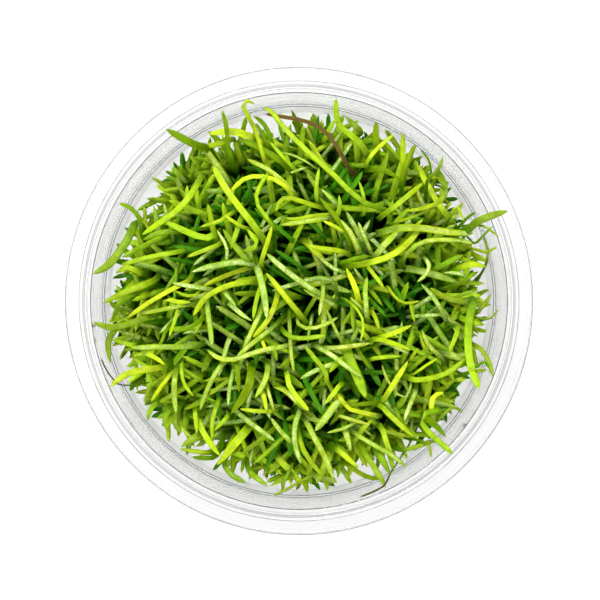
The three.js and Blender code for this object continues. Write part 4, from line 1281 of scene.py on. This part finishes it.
class MakeCup(bpy.types.Operator):
    """Make the clear plastic cup in place of its solid"""

    bl_idname = "culture_cup.make_cup"
    bl_label = "Make Cup"

    def execute(self, context):
        settings = context.scene.culture_cup.cup
        top = CUP_HEIGHT
        floor = FOOT_HEIGHT + WALL
        profile = [
            (0, FOOT_HEIGHT),
            (FOOT_INNER_RADIUS, FOOT_HEIGHT),
            (FOOT_INNER_RADIUS + FOOT_HEIGHT, 0),
            (FLOOR_RADIUS + WALL - CORNER, 0),
            (FLOOR_RADIUS + WALL, CORNER),
            (MOUTH_RADIUS + WALL, top - SEAT_DEPTH - WALL),
            (STEP_RADIUS + WALL * STEP_UNDER, top - SEAT_DEPTH - WALL),
            (STEP_RADIUS + WALL, top - WALL),
            (FLANGE_RADIUS - WALL, top - WALL),
            (FLANGE_RADIUS - WALL, top - LIP_DROP),
            (FLANGE_RADIUS, top - LIP_DROP),
            (FLANGE_RADIUS, top - FLANGE_BEVEL),
            (FLANGE_RADIUS - FLANGE_BEVEL, top),
            (STEP_RADIUS + SEAT_BEVEL, top),
            (STEP_RADIUS - SEAT_BEVEL, top - SEAT_DEPTH),
            (MOUTH_RADIUS, top - SEAT_DEPTH),
            (inner_radius(floor), floor + CORNER),
            (inner_radius(floor) - CORNER, floor),
            (0, floor),
        ]
        bm = turned(profile, settings.ring_steps)
        soften(bm, settings.edge_round, CUP_CORNER)
        plastic = plastic_material(settings)
        link(bm, "cup_clear", plastic, replaces=["cup"], slot="cup_plastic", crisp=True)
        return {"FINISHED"}


class MakeGel(bpy.types.Operator):
    """Make the cloudy gel in place of its solid"""

    bl_idname = "culture_cup.make_gel"
    bl_label = "Make Gel"

    def execute(self, context):
        settings = context.scene.culture_cup
        floor = FOOT_HEIGHT + WALL + GEL_GAP
        low = inner_radius(floor) - GEL_GAP
        high = inner_radius(GEL_TOP) - EDGE_GAP
        profile = [
            (0, floor),
            (low - CORNER, floor),
            (low, floor + CORNER),
            (high, GEL_TOP + MENISCUS),
            (high - MENISCUS_KINK * MENISCUS, GEL_TOP + (1 - MENISCUS_KINK) * MENISCUS),
            (high - MENISCUS, GEL_TOP + MENISCUS * MENISCUS_BEND),
            (high - MENISCUS * MENISCUS_REACH, GEL_TOP),
            (0, GEL_TOP),
        ]
        bm = turned(profile, settings.cup.ring_steps)
        soften(bm, GEL_ROUND, GEL_CORNER)
        gel = gel_material(settings.gel)
        link(bm, "gel_cloudy", gel, replaces=["nutrient_gel"], slot="gel", crisp=True)
        return {"FINISHED"}


class MakeTurf(bpy.types.Operator):
    """Make every plantlet's crown and leaves in place of its solid"""

    bl_idname = "culture_cup.make_turf"
    bl_label = "Make Turf"

    def execute(self, context):
        settings = context.scene.culture_cup.turf
        material = leaf_material(settings)
        for index, leaves in enumerate(solid_leaves()):
            plantlet(index, leaves, settings, material)
        return {"FINISHED"}


class MakeRoots(bpy.types.Operator):
    """Make the fine roots that hang in the gel"""

    bl_idname = "culture_cup.make_roots"
    bl_label = "Make Roots"

    def execute(self, context):
        settings = context.scene.culture_cup.roots
        tube, faces = unit_tube(*ROOT_TUBE)
        places, all_faces = [], []
        for index in range(PLANTLETS):
            for number in range(settings.per_plantlet):
                rib = root_rib(crown_place(index), dice(index, number, ROOT_KEY))
                all_faces.append(faces + len(places) * len(tube))
                places.append(root_tube(tube, rib, settings.radius / MM))
        mesh = bpy.data.meshes.new("roots")
        mesh.from_pydata((np.concatenate(places) * MM).tolist(), [], np.concatenate(all_faces).tolist())
        tie(mesh, "roots", root_material())
        return {"FINISHED"}


class MakeStage(bpy.types.Operator):
    """Make the floor, the soft light and the camera straight above"""

    bl_idname = "culture_cup.make_stage"
    bl_label = "Make Stage"

    def execute(self, context):
        settings = context.scene.culture_cup.stage
        bm = bmesh.new()
        bmesh.ops.create_grid(bm, x_segments=2, y_segments=2, size=FLOOR_HALF)
        mesh = mesh_from(bm, "floor")
        mesh.materials.append(floor_material(settings))
        floor = bpy.data.objects.new("floor", mesh)
        context.scene.collection.objects.link(floor)
        make_sky(context.scene, settings.sky_strength)
        make_lamp(context.scene, settings.lamp_watts)
        make_camera(context.scene, settings.eye_height)
        return {"FINISHED"}


# The stage, in metres: half of the floor's side, the soft lamp, and what the lamp points at
FLOOR_HALF = 3
LAMP_PLACE = Vector((-0.5, 1.2, 2))
LAMP_SIZE = 0.9
LAMP_AIM = Vector((0, 0, 0.03))
# The sky from the horizon (0) up: from this height on it is white
SKY = [(0, (0.62, 0.63, 0.64)), (0.5, (1, 1, 1))]
# The camera: what it frames at the rim's height and where, in millimetres, and what it sees
FRAME_WIDTH = 115.14
FRAME_MIDDLE = (0.19, 0.19)
SENSOR = 36
CLIP = (0.01, 20)
GAMMA = 0.92


def make_sky(scene, strength):
    """White light from above, greyer towards the horizon."""
    world = bpy.data.worlds.new("sky")
    world.use_nodes = True
    tree = world.node_tree
    tree.nodes.clear()
    direction = add_node(tree, "TexCoord", "Generated")
    shade = ramped(tree, add_node(tree, "SeparateXYZ", "Z", {"Vector": direction}), SKY)
    light = add_node(tree, "Background", "Background", {"Color": shade, "Strength": strength})
    output = tree.nodes.new("ShaderNodeOutputWorld")
    tree.links.new(light, output.inputs["Surface"])
    scene.world = world


def make_lamp(scene, watts):
    """A soft lamp above the cup's back left side."""
    lamp = bpy.data.lights.new("soft_lamp", "AREA")
    lamp.energy = watts
    lamp.size = LAMP_SIZE
    holder = bpy.data.objects.new("soft_lamp", lamp)
    holder.location = LAMP_PLACE
    holder.rotation_euler = (LAMP_AIM - LAMP_PLACE).to_track_quat("-Z", "Y").to_euler()
    scene.collection.objects.link(holder)


def make_camera(scene, eye_height):
    """Looks straight down, so that the rim fills the frame as in the reference view."""
    camera = bpy.data.cameras.new("camera")
    camera.sensor_width = SENSOR
    camera.lens = SENSOR * (eye_height / MM - CUP_HEIGHT) / FRAME_WIDTH
    camera.clip_start, camera.clip_end = CLIP
    holder = bpy.data.objects.new("camera", camera)
    holder.location = (FRAME_MIDDLE[0] * MM, FRAME_MIDDLE[1] * MM, eye_height)
    scene.collection.objects.link(holder)
    scene.camera = holder
    scene.view_settings.view_transform = "Standard"
    scene.view_settings.gamma = GAMMA


class CultureCupPanel(bpy.types.Panel):
    """The cup's settings and the steps that make it"""

    bl_idname = "VIEW3D_PT_culture_cup"
    bl_label = "Culture Cup"
    bl_space_type = "VIEW_3D"
    bl_region_type = "UI"
    bl_category = "Culture Cup"

    def draw(self, context):
        settings = context.scene.culture_cup
        for name, operator in STEPS:
            box = self.layout.box()
            group = getattr(settings, name)
            for key in group.bl_rna.properties.keys():
                if key not in ("rna_type", "name"):
                    box.prop(group, key)
            box.operator(operator.bl_idname)


STEPS = [
    ("cup", MakeCup),
    ("gel", MakeGel),
    ("turf", MakeTurf),
    ("roots", MakeRoots),
    ("stage", MakeStage),
]
GROUPS = [CupSettings, GelSettings, TurfSettings, RootSettings, StageSettings, CultureCupSettings]
CLASSES = [*GROUPS, *(operator for _, operator in STEPS), CultureCupPanel]


def register():
    """Make the settings, the operators and the panel known."""
    for kind in CLASSES:
        bpy.utils.register_class(kind)
    bpy.types.Scene.culture_cup = PointerProperty(type=CultureCupSettings)


def unregister():
    """Take them away again."""
    del bpy.types.Scene.culture_cup
    for kind in reversed(CLASSES):
        bpy.utils.unregister_class(kind)


def main():
    register()
    bpy.ops.culture_cup.make_cup()
    bpy.ops.culture_cup.make_gel()
    bpy.ops.culture_cup.make_turf()
    bpy.ops.culture_cup.make_roots()
    bpy.ops.culture_cup.make_stage()
    bpy.context.view_layer.update()


if __name__ == "__main__":
    main()
